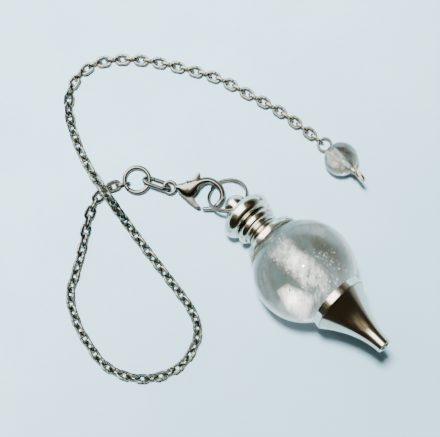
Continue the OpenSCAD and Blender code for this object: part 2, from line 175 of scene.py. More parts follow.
def joined(shapes: list[Shape]) -> Shape:
    """Puts several surfaces of four-sided faces into one.

    Args:
        shapes: the surfaces.

    Returns:
        One surface, with each one's faces counted on from those before it.
    """
    starts = np.cumsum([0] + [len(s.points) for s in shapes[:-1]])
    faces = [s.faces + start for s, start in zip(shapes, starts)]
    points, point_mask = ([getattr(s, key) for s in shapes] for key in ("points", "point_mask"))
    return Shape(np.concatenate(points), np.concatenate(faces), np.concatenate(point_mask))


def copies(points: Array, faces: Array, point_mask: Array) -> Shape:
    """Gives many copies of one set of faces, each on points of its own.

    Args:
        points: copies by points by 3.
        faces: one copy's faces.
        point_mask: one copy's mask.

    Returns:
        The surface.
    """
    count, size = points.shape[:2]
    starts = np.arange(count)[:, None, None] * size
    return Shape(points.reshape(-1, 3), (faces + starts).reshape(-1, 4), np.tile(point_mask, count))


def grid(points: Array, loop_rows: bool, loop_cols: bool, point_mask: Array | None = None) -> Shape:
    """Joins a grid of points with four-sided faces.

    The face at row i and column j has the corners (i, j), (i + 1, j), (i + 1, j + 1), (i, j + 1).

    Args:
        points: rows by columns by 3.
        loop_rows: whether the last row meets the first.
        loop_cols: whether the last column meets the first.
        point_mask: the mask, rows by columns, or None for none.

    Returns:
        The surface.
    """
    rows, cols = points.shape[:2]
    i, j = np.mgrid[:rows if loop_rows else rows - 1, :cols if loop_cols else cols - 1]
    ahead, beside = (i + 1) % rows, (j + 1) % cols
    faces = np.stack([i * cols + j, ahead * cols + j, ahead * cols + beside, i * cols + beside], axis=-1)
    mask = np.zeros((rows, cols)) if point_mask is None else point_mask
    return Shape(points.reshape(-1, 3), faces.reshape(-1, 4), mask.reshape(-1))


def turned(profile: Array, sides: int, closed: bool, point_mask: Array | None = None) -> Shape:
    """Turns a profile round the Z axis: x = r cos a, y = r sin a, z = z.

    Args:
        profile: rows of radius and height.
        sides: how many steps the turn has.
        closed: whether the profile's end meets its start, as on a ring or a shell.
        point_mask: the mask of each row of the profile, or None.

    Returns:
        The surface.
    """
    a = np.linspace(0, FULL_TURN, sides, endpoint=False)
    r, z = profile[:, :1], profile[:, 1:]
    mask = None if point_mask is None else np.repeat(point_mask[:, None], sides, axis=1)
    return grid(np.stack([r * np.cos(a), r * np.sin(a), z + 0 * a], axis=-1), closed, True, mask)


def carried(
    path: Array, side: Array, up: Array, section: Array, closed: bool,
    share: Array | None = None, point_mask: Array | None = None,
) -> Shape:
    """Carries a section along a path: point = path + share (side x + up y).

    An open path is closed at each end by a section of size nought, added here.

    Args:
        path: the path's points.
        side: the way of the section's x, for each point or for all.
        up: the way of the section's y, for each point or for all.
        section: rows of x and y, for each point or for all.
        closed: whether the path's end meets its start.
        share: the size of the section at each point, or None for one.
        point_mask: the mask of the section's points, for each point or for all, or None.

    Returns:
        The surface.
    """
    count = len(path)
    side, up = np.broadcast_to(side, path.shape), np.broadcast_to(up, path.shape)
    section = np.broadcast_to(section, (count, *section.shape[-2:]))
    size = np.ones(count) if share is None else share
    mask = np.broadcast_to(0.0 if point_mask is None else point_mask, section.shape[:2])
    if not closed:
        ends = np.r_[0, np.arange(count), count - 1]
        path, side, up, section, mask = (a[ends] for a in (path, side, up, section, mask))
        size = np.r_[0, size, 0]
    across, high = np.moveaxis(section * size[:, None, None], -1, 0)[..., None]
    return grid(path[:, None] + across * side[:, None] + high * up[:, None], closed, True, mask)


def wire(
    path: Array, side: Array, up: Array, section: Array, ends: float = 0.8,
    point_mask: Array | None = None,
) -> Shape:
    """Gives an open wire along a path, with softened cut ends.

    Args:
        path: the path's points.
        side: the way of the section's x.
        up: the way of the section's y.
        section: rows of x and y.
        ends: the share of its size that the wire has at its ends.
        point_mask: the mask, or None.

    Returns:
        The surface.
    """
    share = np.ones(len(path))
    share[[0, -1]] = ends
    return carried(path, side, up, section, False, share, point_mask)


def oval(width: float, height: float, sides: int, power: float = 2.0) -> Array:
    """Gives a rounded section: x = a sign(cos t) |cos t|^(2/p), y = b sign(sin t) |sin t|^(2/p).

    Args:
        width: its size along x.
        height: its size along y.
        sides: its number of points.
        power: p, which is 2 for an ellipse and more for a squarer form.

    Returns:
        Rows of x and y.
    """
    t = np.linspace(0, FULL_TURN, sides, endpoint=False) + math.pi / sides
    ring = circle(t)
    return np.array([width, height]) / 2 * np.sign(ring) * np.abs(ring) ** (2 / power)


def rounded(corners: list[Triple] | tuple[Triple, ...], steps: int, closed: bool) -> Array:
    """Rounds the corners of an outline, each with a curve that leaves both its sides smoothly.

    A corner p becomes a (1 - t)^2 + 2 p t (1 - t) + b t^2, where a and b lie on its two sides
    at the corner's reach from p.

    Args:
        corners: rows of x, y and reach; a reach of nought keeps the corner sharp.
        steps: how many steps a rounded corner has.
        closed: whether the outline's end meets its start.

    Returns:
        Rows of x and y.
    """
    p = np.array(corners)[:, :2]
    t = np.linspace(0, 1, steps + 1)[:, None]
    parts = []
    for i, (_, _, reach) in enumerate(corners):
        if reach <= 0 or not (closed or 0 < i < len(p) - 1):
            parts.append(p[i:i + 1])
            continue
        a, b = (
            p[i] + way * min(reach / np.linalg.norm(way), MOST_REACH)
            for way in (p[i - 1] - p[i], p[(i + 1) % len(p)] - p[i])
        )
        parts.append(a * (1 - t) ** 2 + 2 * p[i] * t * (1 - t) + b * t ** 2)
    return np.concatenate(parts)


def edge_mask(section: Array, width: float) -> Array:
    """Returns how near each point of a wire's section is to its two sides, from nought to one."""
    return np.clip((np.abs(section[:, 0]) / (width / 2) - EDGE_FROM) / EDGE_FADE, 0, 1)


def smooth_rows(rows: Array, steps: int) -> Array:
    """Runs a smooth curve through a table's rows, each column by the same cubic in t.

    Between rows b and c, with a before and d after them, a value is
    (2b + (c - a) t + (2a - 5b + 4c - d) t^2 + (3b - 3c + d - a) t^3) / 2.

    Args:
        rows: the table.
        steps: how many steps lie between two rows.

    Returns:
        The finer table.
    """
    last = len(rows) - 1
    i = np.arange(last)
    a, b, c, d = (rows[np.clip(i + k, 0, last)][:, None] for k in (-1, 0, 1, 2))
    t = (np.arange(steps) / steps)[None, :, None]
    fine = 2 * b + (c - a) * t + (2 * a - 5 * b + 4 * c - d) * t ** 2 + (3 * b - 3 * c + d - a) * t ** 3
    return np.concatenate([(fine / 2).reshape(-1, rows.shape[1]), rows[-1:]])


def flat_side(path: Array, closed: bool) -> Array:
    """Gives the way across a flat path at each of its points: Z crossed with the path's run.

    Args:
        path: the path's points.
        closed: whether the path's end meets its start.

    Returns:
        Vectors of length one.
    """
    around = np.roll(path, -1, axis=0) - np.roll(path, 1, axis=0)
    return unit(np.cross(UP, around if closed else np.gradient(path, axis=0)))


def stadium(s: Array, straight: float, end_r: float) -> tuple[Array, Array]:
    """Gives points along a flat loop of two half circles and two straights.

    A point is (shift + R cos a, R sin a). Round the half circles a grows with s, and along the
    straights the shift runs from half a straight to its negative and back.

    Args:
        s: distances along the loop, from the middle of its right end.
        straight: the straight's length.
        end_r: the half circles' radius.

    Returns:
        The points, and the outward way at each.
    """
    quarter = math.pi / 2 * end_r
    marks = np.cumsum([0, quarter, straight, 2 * quarter, straight, quarter])
    a = np.interp(s, marks, np.radians([0, 90, 90, 270, 270, 360]))
    shift = np.interp(s, marks, np.array([1, 1, -1, -1, 1, 1]) * straight / 2)
    out = level(a)
    return out * end_r + shift[:, None] * [1, 0, 0], out


# Meshes

def make_piece(name: str, shape: Shape, sharp_deg: float = 40, close: bool = False) -> bpy.types.Object:
    """Makes a mesh object of a surface, welded, with its faces outwards.

    Args:
        name: the piece's name.
        shape: its surface, in millimetres of the model's frame.
        sharp_deg: edges that turn by more than this are sharp.
        close: whether open ends are closed with flat faces.

    Returns:
        The object, at the origin.
    """
    mesh = bpy.data.meshes.new(name)
    mesh.from_pydata((shape.points * MM).tolist(), [], shape.faces.tolist())
    mesh.attributes.new("point_mask", "FLOAT", "POINT")
    mesh.attributes["point_mask"].data.foreach_set("value", shape.point_mask.astype(np.float32))
    work = bmesh.new()
    work.from_mesh(mesh)
    bmesh.ops.remove_doubles(work, verts=work.verts, dist=WELD_MM * MM)
    bmesh.ops.dissolve_degenerate(work, edges=work.edges, dist=WELD_MM * MM / 10)
    if close:
        bmesh.ops.holes_fill(work, edges=work.edges)
    bmesh.ops.recalc_face_normals(work, faces=work.faces)
    work.to_mesh(mesh)
    work.free()
    mesh.shade_smooth()
    mesh.set_sharp_from_angle(angle=math.radians(sharp_deg))
    piece = bpy.data.objects.new(name, mesh)
    bpy.context.scene.collection.objects.link(piece)
    return piece


def cut(piece: bpy.types.Object, tools: list[Shape], sharp_deg: float) -> None:
    """Cuts closed surfaces out of a piece, and keeps the result as its mesh.

    The cut is made in millimetres, because in metres so small a piece loses faces.

    Args:
        piece: the piece.
        tools: the surfaces to cut out.
        sharp_deg: edges that turn by more than this are sharp afterwards.
    """
    piece.data.transform(Matrix.Scale(1 / MM, 4))
    for i, tool in enumerate(tools):
        knife = make_piece(f"{piece.name}_cutter_{i}", tool, close=True)
        knife.data.transform(Matrix.Scale(1 / MM, 4))
        step = piece.modifiers.new("cut", "BOOLEAN")
        step.operation = "DIFFERENCE"
        step.solver = "FAST"
        step.object = knife
        seen = piece.evaluated_get(bpy.context.evaluated_depsgraph_get())
        fresh = bpy.data.meshes.new_from_object(seen)
        piece.modifiers.clear()
        piece.data = fresh
        bpy.data.objects.remove(knife, do_unlink=True)
    piece.data.transform(Matrix.Scale(MM, 4))
    piece.data.shade_smooth()
    piece.data.set_sharp_from_angle(angle=math.radians(sharp_deg))


def add_shape(piece: bpy.types.Object, shape: Shape, sharp_deg: float) -> None:
    """Adds a closed surface to a piece's mesh.

    Args:
        piece: the piece.
        shape: the surface, in millimetres of the model's frame.
        sharp_deg: its edges that turn by more than this are sharp.
    """
    extra = make_piece("extra_surface", shape, sharp_deg)
    work = bmesh.new()
    work.from_mesh(piece.data)
    work.from_mesh(extra.data)
    work.to_mesh(piece.data)
    work.free()
    bpy.data.objects.remove(extra, do_unlink=True)


# Node groups

FLOAT = "NodeSocketFloat"
COLOUR = "NodeSocketColor"


class NodeSheet:
    """Lays out a node tree: makes nodes, sets their values and joins their sockets."""

    def __init__(self, tree: NodeTree) -> None:
        """Keeps the tree that the nodes go in."""
        self.tree = tree

    def feed(self, node: Node, values: dict[str | int, object]) -> Node:
        """Sets or joins a node's inputs.

        Args:
            node: the node.
            values: a number, a colour or an output socket, by each input's name or place.

        Returns:
            The same node.
        """
        for key, value in values.items():
            if isinstance(value, Socket):
                self.tree.links.new(value, node.inputs[key])
            else:
                node.inputs[key].default_value = value
        return node

    def add(self, kind: str, values: dict[str | int, object] | None = None, **settings: object) -> Node:
        """Adds a node, with its properties set and its inputs fed.

        Args:
            kind: the node's type name.
            values: what its inputs are fed.
            settings: property values by name.

        Returns:
            The node.
        """
        node = self.tree.nodes.new(kind)
        for key, value in settings.items():
            setattr(node, key, value)
        return self.feed(node, values or {})

    def at(self) -> Socket:
        """Returns the object's own coordinates."""
        return self.add("ShaderNodeTexCoord").outputs["Object"]

    def stretched(self, rotation: Triple, scale: Triple) -> Socket:
        """Returns the object's own coordinates, turned and scaled."""
        values = {"Vector": self.at(), "Rotation": rotation, "Scale": scale}
        return self.add("ShaderNodeMapping", values).outputs[0]

    def math(self, operation: str, a: object, b: object = 0.5, clamp: bool = False) -> Socket:
        """Returns what an operation makes of two values."""
        return self.add("ShaderNodeMath", {0: a, 1: b}, operation=operation, use_clamp=clamp).outputs[0]

    def times(self, a: object, b: object, clamp: bool = False) -> Socket:
        """Returns one value times another."""
        return self.math("MULTIPLY", a, b, clamp)

    def plus(self, a: object, b: object, clamp: bool = False) -> Socket:
        """Returns one value plus another."""
        return self.math("ADD", a, b, clamp)

    def spread(
        self, value: object, low: float, high: float, to_low: float = 0.0, to_high: float = 1.0,
    ) -> Socket:
        """Returns a value's smooth clamped change from one range to another."""
        values = {"Value": value, "From Min": low, "From Max": high, "To Min": to_low, "To Max": to_high}
        return self.add("ShaderNodeMapRange", values, interpolation_type="SMOOTHSTEP").outputs["Result"]

    def blend(self, share: object, a: object, b: object) -> Socket:
        """Returns a mix of two colours, where share is how much of b shows."""
        return self.add("ShaderNodeMix", {0: share, 6: a, 7: b}, data_type="RGBA").outputs[2]

    def noise(self, where: Socket, scale: object, detail: float = 3.0, rough: float = 0.55) -> Socket:
        """Returns the value of a noise texture."""
        values = {"Vector": where, "Scale": scale, "Detail": detail, "Roughness": rough}
        return self.add("ShaderNodeTexNoise", values).outputs[0]

    def bump(self, height: Socket, strength: float, distance: float) -> Socket:
        """Returns the normal of a bump."""
        values = {"Height": height, "Strength": strength, "Distance": distance}
        return self.add("ShaderNodeBump", values).outputs[0]

    def point_mask(self) -> Socket:
        """Returns the mask that each mesh carries for its points."""
        return self.add("ShaderNodeAttribute", attribute_name="point_mask").outputs["Fac"]


def new_group(
    name: str, inputs: dict[str, object], outputs: dict[str, str],
) -> tuple[NodeSheet, bpy.types.NodeOutputs, Node]:
    """Makes an empty shader node group with named sockets.

    Args:
        name: the group's name.
        inputs: each input's first value, a tuple for a colour.
        outputs: each output's socket type.

    Returns:
        The group's sheet, its inputs as sockets to read, and its output node.
    """
    group = bpy.data.node_groups.new(name, "ShaderNodeTree")
    for label, value in inputs.items():
        kind = COLOUR if isinstance(value, tuple) else FLOAT
        group.interface.new_socket(label, in_out="INPUT", socket_type=kind).default_value = value
    for label, kind in outputs.items():
        group.interface.new_socket(label, in_out="OUTPUT", socket_type=kind)
    sheet = NodeSheet(group)
    return sheet, sheet.add("NodeGroupInput").outputs, sheet.add("NodeGroupOutput")


def plating_group() -> NodeTree:
    """Builds the wear of plated metal and its painted shade, shared by every metal piece.

    The dark colour gathers where each mesh's point mask is high, and also in soft clouds and specks of
    tarnish. The mask paints shade along wire sides, in grooves and recesses and on the inner sides of links,
    and it also marks dark solder seams. Handling marks change the roughness, and fine scratches and tiny pits
    give the height.

    Returns:
        The group.
    """
    sheet, given, end = new_group(
        "plating_wear_and_painted_shade",
        {
            "Plating": (0.8, 0.78, 0.72, 1), "Tarnish And Shade": (0.2, 0.16, 0.09, 1), "Tarnish And Shade Amount": 0.5,
            "Base Roughness": 0.12, "Mark Size": 1.0, "Shade And Tarnish Mask": 0.0,
        },
        {"Colour": COLOUR, "Roughness": FLOAT, "Height": FLOAT},
    )
    size = given["Mark Size"]
    clouds = sheet.noise(sheet.at(), sheet.math("DIVIDE", 420.0, size), 4.0, 0.6)
    specks = sheet.noise(sheet.at(), sheet.math("DIVIDE", 2600.0, size), 2.0, 0.5)
    cloud_mask = sheet.spread(clouds, 0.52, 0.78)
    speck_mask = sheet.spread(specks, 0.66, 0.76)
    point_mask = sheet.spread(given["Shade And Tarnish Mask"], 0.05, 0.95)
    # painted shade from the mesh's mask, joined with tarnish in clouds and specks
    tarnish_shade_share = sheet.times(point_mask, sheet.spread(clouds, 0.2, 0.6, 0.6, 1.0))
    tarnish_shade_share = sheet.math("MAXIMUM", tarnish_shade_share, sheet.times(cloud_mask, 0.35))
    tarnish_shade_share = sheet.math("MAXIMUM", tarnish_shade_share, sheet.times(speck_mask, 0.3))
    tarnish_shade_share = sheet.times(tarnish_shade_share, given["Tarnish And Shade Amount"], True)
    colour = sheet.blend(tarnish_shade_share, given["Plating"], given["Tarnish And Shade"])
    lines_at = sheet.stretched((0.4, 0.2, 0.9), (1.0, 9.0, 9.0))
    scratches = sheet.noise(lines_at, sheet.math("DIVIDE", 700.0, size), 3.0, 0.7)
    rough = sheet.plus(given["Base Roughness"], sheet.times(tarnish_shade_share, 0.3))
    rough = sheet.plus(rough, sheet.spread(clouds, 0.4, 0.8, 0.0, 0.08), True)
    height = sheet.plus(sheet.times(scratches, 0.5), sheet.times(speck_mask, -0.5))
    sheet.feed(end, {"Colour": colour, "Roughness": rough, "Height": height})
    return sheet.tree


def stone_group() -> NodeTree:
    """Builds the polish of the stones: hairline scratches, small pits and a faint haze.

    Returns:
        The group.
    """
    sheet, given, end = new_group(
        "stone_polish", {"Tint": (0.95, 0.96, 0.95, 1), "Haze": 0.02, "Mark Size": 1.0},
        {"Colour": COLOUR, "Roughness": FLOAT, "Height": FLOAT},
    )
    size = given["Mark Size"]
    waves = sheet.noise(sheet.at(), sheet.math("DIVIDE", 160.0, size), 2.0, 0.5)
    pits = sheet.noise(sheet.at(), sheet.math("DIVIDE", 1900.0, size), 1.0, 0.5)
    pit_mask = sheet.spread(pits, 0.7, 0.78)
    lines_at = sheet.stretched((0.3, 0.5, 0.7), (1.0, 14.0, 14.0))
    lines = sheet.noise(lines_at, sheet.math("DIVIDE", 240.0, size), 2.0, 0.6)
    line_mask = sheet.spread(lines, 0.71, 0.78)
    cloud = sheet.spread(waves, 0.35, 0.75)
    colour = sheet.blend(sheet.times(cloud, 0.5), given["Tint"], (0.99, 0.99, 0.98, 1))
    rough = sheet.plus(sheet.times(cloud, given["Haze"]), 0.004)
    rough = sheet.plus(rough, sheet.times(line_mask, 0.12), True)
    height = sheet.plus(sheet.times(waves, 1.2), sheet.times(pit_mask, -0.5))
    height = sheet.plus(height, sheet.times(line_mask, -0.4))
    sheet.feed(end, {"Colour": colour, "Roughness": rough, "Height": height})
    return sheet.tree


def veil_group() -> NodeTree:
    """Builds the wisps of a veil inside a stone, from stretched noise and a density mask.

    Returns:
        The group.
    """
    sheet, given, end = new_group(
        "stone_veil", {"Thickness": 0.5, "Grain": 300.0, "Even Part": 0.2, "Wispy Part": 0.8},
        {"Alpha": FLOAT, "Height": FLOAT},
    )
    lines_at = sheet.stretched((0.0, 0.0, math.radians(47)), (2.6, 1.0, 1.6))
    wisps = sheet.noise(lines_at, given["Grain"], 6.0, 0.68)
    fine = sheet.noise(sheet.at(), sheet.times(given["Grain"], 5.0), 3.0, 0.6)
    mask = sheet.plus(sheet.spread(wisps, 0.44, 0.72), sheet.times(sheet.spread(fine, 0.56, 0.72), 0.35))
    mask = sheet.plus(sheet.times(mask, given["Wispy Part"]), given["Even Part"])
    sheet.feed(end, {"Alpha": sheet.times(mask, given["Thickness"], True), "Height": wisps})
    return sheet.tree


# Finishes

@dataclass(frozen=True)
class Finish:
    """What every finish has: its material's name, its slot and its colour."""

    name: str
    slot: Slot
    colour: Colour

    def blank(self) -> tuple[bpy.types.Material, NodeSheet, Node]:
        """Gives a new material to fill in.

        Returns:
            The material, its sheet and its shader.
        """
        made = bpy.data.materials.new(self.name)
        made.use_nodes = True
        return made, NodeSheet(made.node_tree), made.node_tree.nodes["Principled BSDF"]


@dataclass(frozen=True)
class PlatingFinish(Finish):
    """A plated metal: the dark colour of its tarnish and painted shade, and how bright its polish is."""

    tarnish_and_shade: Colour
    tarnish_and_shade_amount: float
    roughness: float
    mark_size: float
    relief: float

    def material(self, wear: NodeTree) -> bpy.types.Material:
        """Builds the finish's material.

        Args:
            wear: the group of plating wear.

        Returns:
            The material.
        """
        made, sheet, shader = self.blank()
        marks = sheet.add("ShaderNodeGroup", node_tree=wear)
        sheet.feed(marks, {
            "Plating": self.colour, "Tarnish And Shade": self.tarnish_and_shade, "Tarnish And Shade Amount": self.tarnish_and_shade_amount,
            "Base Roughness": self.roughness, "Mark Size": self.mark_size, "Shade And Tarnish Mask": sheet.point_mask(),
        })
        normal = sheet.bump(marks.outputs["Height"], self.relief, PLATING_DEPTH)
        sheet.feed(shader, {
            "Base Color": marks.outputs["Colour"], "Roughness": marks.outputs["Roughness"],
            "Metallic": 1.0, "Normal": normal,
        })
        return made


@dataclass(frozen=True)
class StoneFinish(Finish):
    """A clear polished stone."""

    haze: float
    mark_size: float
    relief: float
    bend: float = 1.544

    def material(self, polish: NodeTree) -> bpy.types.Material:
        """Builds the finish's material.

        Args:
            polish: the group of stone polish.

        Returns:
            The material.
        """
        made, sheet, shader = self.blank()
        marks = sheet.add("ShaderNodeGroup", node_tree=polish)
        sheet.feed(marks, {"Tint": self.colour, "Haze": self.haze, "Mark Size": self.mark_size})
        normal = sheet.bump(marks.outputs["Height"], self.relief, STONE_DEPTH)
        sheet.feed(shader, {
            "Base Color": marks.outputs["Colour"], "Roughness": marks.outputs["Roughness"],
            "Transmission Weight": 1.0, "IOR": self.bend, "Normal": normal,
        })
        return made


@dataclass(frozen=True)
class VeilFinish(Finish):
    """A cloudy sheet inside a stone."""

    even_part: float
    wispy_part: float
    grain: float
    # Emission that paints light on the sheet, so that it looks lit inside its stone
    glow: float = 0.0
    roughness: float = 0.7
    relief: float = 0.6

    def material(self, veil: NodeTree) -> bpy.types.Material:
        """Builds the finish's material.

        Args:
            veil: the group of veil wisps.

        Returns:
            The material.
        """
        made, sheet, shader = self.blank()
        wisps = sheet.add("ShaderNodeGroup", node_tree=veil)
        sheet.feed(wisps, {
            "Thickness": sheet.point_mask(), "Grain": self.grain, "Even Part": self.even_part,
            "Wispy Part": self.wispy_part,
        })
        sheet.feed(shader, {
            "Base Color": self.colour, "Roughness": self.roughness, "Alpha": wisps.outputs["Alpha"],
            "Emission Color": self.colour, "Emission Strength": self.glow,
            "Normal": sheet.bump(wisps.outputs["Height"], self.relief, VEIL_DEPTH),
        })
        return made


@dataclass(frozen=True)
class FleckFinish(Finish):
    """A tiny solid inclusion inside a stone, its colour broken up by fine noise."""

    roughness: float
    # Emission that paints light on the inclusion
    glow: float = 0.0
    grain: float = 3000.0
    dark_share: float = 0.45

    def material(self, _: None) -> bpy.types.Material:
        """Builds the finish's material.

        Args:
            _: nothing, because it needs no group.

        Returns:
            The material.
        """
        made, sheet, shader = self.blank()
        grain = sheet.spread(sheet.noise(sheet.at(), self.grain), 0.35, 0.65)
        dark = tuple(c * self.dark_share for c in self.colour[:3]) + (1.0,)
        sheet.feed(shader, {
            "Base Color": sheet.blend(grain, dark, self.colour), "Roughness": self.roughness,
            "Emission Color": self.colour, "Emission Strength": self.glow,
        })
        return made


class Look(Enum):
    """The finishes of the pieces."""

    # Each plating's tarnish colour also paints shade wherever the mesh's mask is high
    POLISHED = PlatingFinish(
        "polished_plating_bright", Slot.POLISHED, (0.60, 0.58, 0.49, 1), (0.19, 0.12, 0.05, 1),
        0.7, 0.10, 1.0, 0.35,
    )
    FINDING = PlatingFinish(
        "finding_plating_worn_and_shaded", Slot.FINDING, (0.22, 0.21, 0.175, 1), (0.03, 0.024, 0.017, 1),
        0.9, 0.10, 0.9, 0.2,
    )
    COIL = PlatingFinish(
        "coil_plating_golden", Slot.FINDING, (0.66, 0.53, 0.33, 1), (0.10, 0.065, 0.025, 1),
        0.85, 0.16, 0.8, 0.2,
    )
    CHAIN = PlatingFinish(
        "chain_plating_tarnished", Slot.CHAIN, (0.24, 0.23, 0.175, 1), (0.02, 0.018, 0.01, 1),
        1.0, 0.17, 0.6, 0.3,
    )
    # painted shade: the grey tint darkens the clear quartz, in place of its own shadow seen through the ball
    QUARTZ = StoneFinish("quartz_polished_shade_tinted", Slot.QUARTZ, (0.45, 0.445, 0.39, 1), 0.03, 1.0, 0.12)
    BEAD = StoneFinish("bead_quartz_polished", Slot.BEAD, (0.30, 0.285, 0.235, 1), 0.06, 0.6, 0.2)
    # painted light: the white veils glow so that they look lit inside the glass
    VEIL = VeilFinish("quartz_veil_white_painted_glow", Slot.QUARTZ, (0.95, 0.96, 0.95, 1), 0.02, 0.8, 560.0, 2.6)
    # painted light: these bright patches glow strongly, though nothing lights them
    PATCH = VeilFinish("quartz_veil_painted_glow", Slot.QUARTZ, (1.0, 1.0, 0.96, 1), 0.45, 0.75, 620.0, 9.0)
    # painted shade: dark sheets that darken the ball where shade shows through it
    PAINTED_SHADE_VEIL = VeilFinish("quartz_painted_shade_veil", Slot.QUARTZ, (0.115, 0.115, 0.09, 1), 0.32, 0.6, 210.0)
    # painted light: the bead's pale veils glow so that they look lit inside the glass
    BEAD_VEIL = VeilFinish("bead_veil_warm_painted_glow", Slot.BEAD, (0.9, 0.87, 0.82, 1), 0.35, 0.6, 420.0, 1.4)
    BEAD_HAZE = VeilFinish("bead_veil_dark", Slot.BEAD, (0.12, 0.105, 0.08, 1), 0.55, 0.5, 380.0)
    # painted light: the bright flecks glow, though they are no lamp
    PAINTED_GLOW_FLECK = FleckFinish("quartz_fleck_painted_glow", Slot.QUARTZ, (0.95, 0.95, 0.94, 1), 0.3, 5.0)
    DARK_FLECK = FleckFinish("quartz_fleck_dark", Slot.QUARTZ, (0.10, 0.095, 0.08, 1), 0.5)
    BROWN_FLECK = FleckFinish("bead_inclusion_brown", Slot.BEAD, (0.17, 0.10, 0.07, 1), 0.5)


class Finishes:
    """Builds each look's material once, and dresses the pieces."""

    def __init__(self) -> None:
        """Builds the node groups and the materials."""
        groups = {PlatingFinish: plating_group(), StoneFinish: stone_group(), VeilFinish: veil_group()}
        self.made = {look: look.value.material(groups.get(type(look.value))) for look in Look}

    def dress(
        self, piece: bpy.types.Object, look: Look, replaces: tuple[str, ...] = (), body: Body = Body.MAIN,
    ) -> None:
        """Gives a piece its material, lets it ride on its body and reports it.

        Args:
            piece: the piece.
            look: its finish.
            replaces: the nodes that it stands for.
            body: the body that it moves with.
        """
        piece.data.materials.clear()
        piece.data.materials.append(self.made[look])
        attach(piece, body.value)
        if replaces:
            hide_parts(*replaces)
        LOG.info("%s: %d faces", piece.name, len(piece.data.polygons))

    def add(self, name: str, shape: Shape, sharp_deg: float, look: Look, *replaces: str) -> None:
        """Makes and dresses a piece that needs no cut."""
        self.dress(make_piece(name, shape, sharp_deg), look, replaces)


# Inclusions

def kept_inside(points: Array, centre: Array, radius: float) -> Array:
    """Returns points, with each that lies outside a ball drawn back to its skin."""
    reach = np.linalg.norm(points - centre, axis=-1, keepdims=True)
    return centre + (points - centre) * np.minimum(1, radius / np.maximum(reach, NEARLY_NOUGHT))


@dataclass(frozen=True)
class VeilRow:
    """One veil: its middle along, across and above the stone's heading, and its form."""

    middle: Triple
    half_length: float
    half_width: float
    turn_deg: float
    dip_deg: float
    wave: float
    seed: int

    def sheet(self, centre: Triple, heading: float, radius: float, steps: int = 56) -> Shape:
        """Gives the veil's wavy sheet with soft edges, which stays inside its stone.

        A point is middle + u along + v across + h (along x across), where h is a sum of five
        sine waves in u and v. Its density is (1 - u^2)(1 - v^2) to the power 1.2.

        Args:
            centre: the stone's centre.
            heading: the heading that the veil's place is measured along.
            radius: the radius that the sheet stays in.
            steps: the grid's steps each way.

        Returns:
            The surface, with its density as the mask.
        """
        axes = turn("z", heading)
        own = axes @ turn("z", self.turn_deg) @ turn("x", self.dip_deg)
        along, across = own[:, 0] * self.half_length, own[:, 1] * self.half_width
        luck = np.random.default_rng(self.seed)
        line = np.linspace(-1, 1, steps)
        u, v = np.meshgrid(line, line, indexing="ij")
        rates = luck.uniform(0.6, 3.4, (5, 2))
        phases = luck.uniform(0, FULL_TURN, 5)
        sizes = luck.uniform(0.3, 1.0, 5) / np.linalg.norm(rates, axis=1)
        height = sum(
            size * np.sin(rate[0] * 2 * u + rate[1] * 2 * v + phase)
            for size, rate, phase in zip(sizes, rates, phases)
        )
        middle = np.array(centre) + axes @ np.array(self.middle)
        points = middle + u[..., None] * along + v[..., None] * across
        points = points + self.wave * height[..., None] * unit(np.cross(along, across))
        density = ((1 - u ** 2) * (1 - v ** 2)) ** 1.2
        return grid(kept_inside(points, np.array(centre), radius), False, False, density)


def fleck_cloud(
    middle: Array, axes: Array, count: int, sizes: Pair, seed: int,
    centre: Triple, radius: float,
) -> Shape:
    """Gives a cloud of tiny flat chips with slanted edges, each turned at random.

    A chip's corners are its middle + size R c, where c is a corner of a flat six-faced shard,
    narrower on top, and R a random turn.

    Args:
        middle: the cloud's middle.
        axes: its three half-lengths as rows of vectors.
        count: how many chips it has.
        sizes: the smallest and the largest half-size.
        seed: the seed of its chips.
        centre: the centre of the stone that it lies in.
        radius: the radius that it stays in.

    Returns:
        The surface.
    """
    luck = np.random.default_rng(seed)
    corners = np.array([
        [1.0, 0.1, -0.1], [0.1, 0.7, -0.1], [-1.0, 0.0, -0.1], [0.0, -0.6, -0.1],
        [0.6, 0.1, 0.1], [0.1, 0.4, 0.1], [-0.5, 0.0, 0.1], [0.0, -0.3, 0.1],
    ])
    faces = np.array([[3, 2, 1, 0], [4, 5, 6, 7], [0, 1, 5, 4], [1, 2, 6, 5], [2, 3, 7, 6], [3, 0, 4, 7]])
    spots = middle + (luck.normal(0, 0.42, (count, 3)).clip(-1, 1)) @ axes
    spots = kept_inside(spots, np.array(centre), radius)
    turns, _ = np.linalg.qr(luck.normal(size=(count, 3, 3)))
    size = luck.uniform(*sizes, (count, 1, 1))
    points = spots[:, None] + size * (corners @ np.transpose(turns, (0, 2, 1)))
    return copies(points, faces, np.ones(len(corners)))


# Sub-assemblies

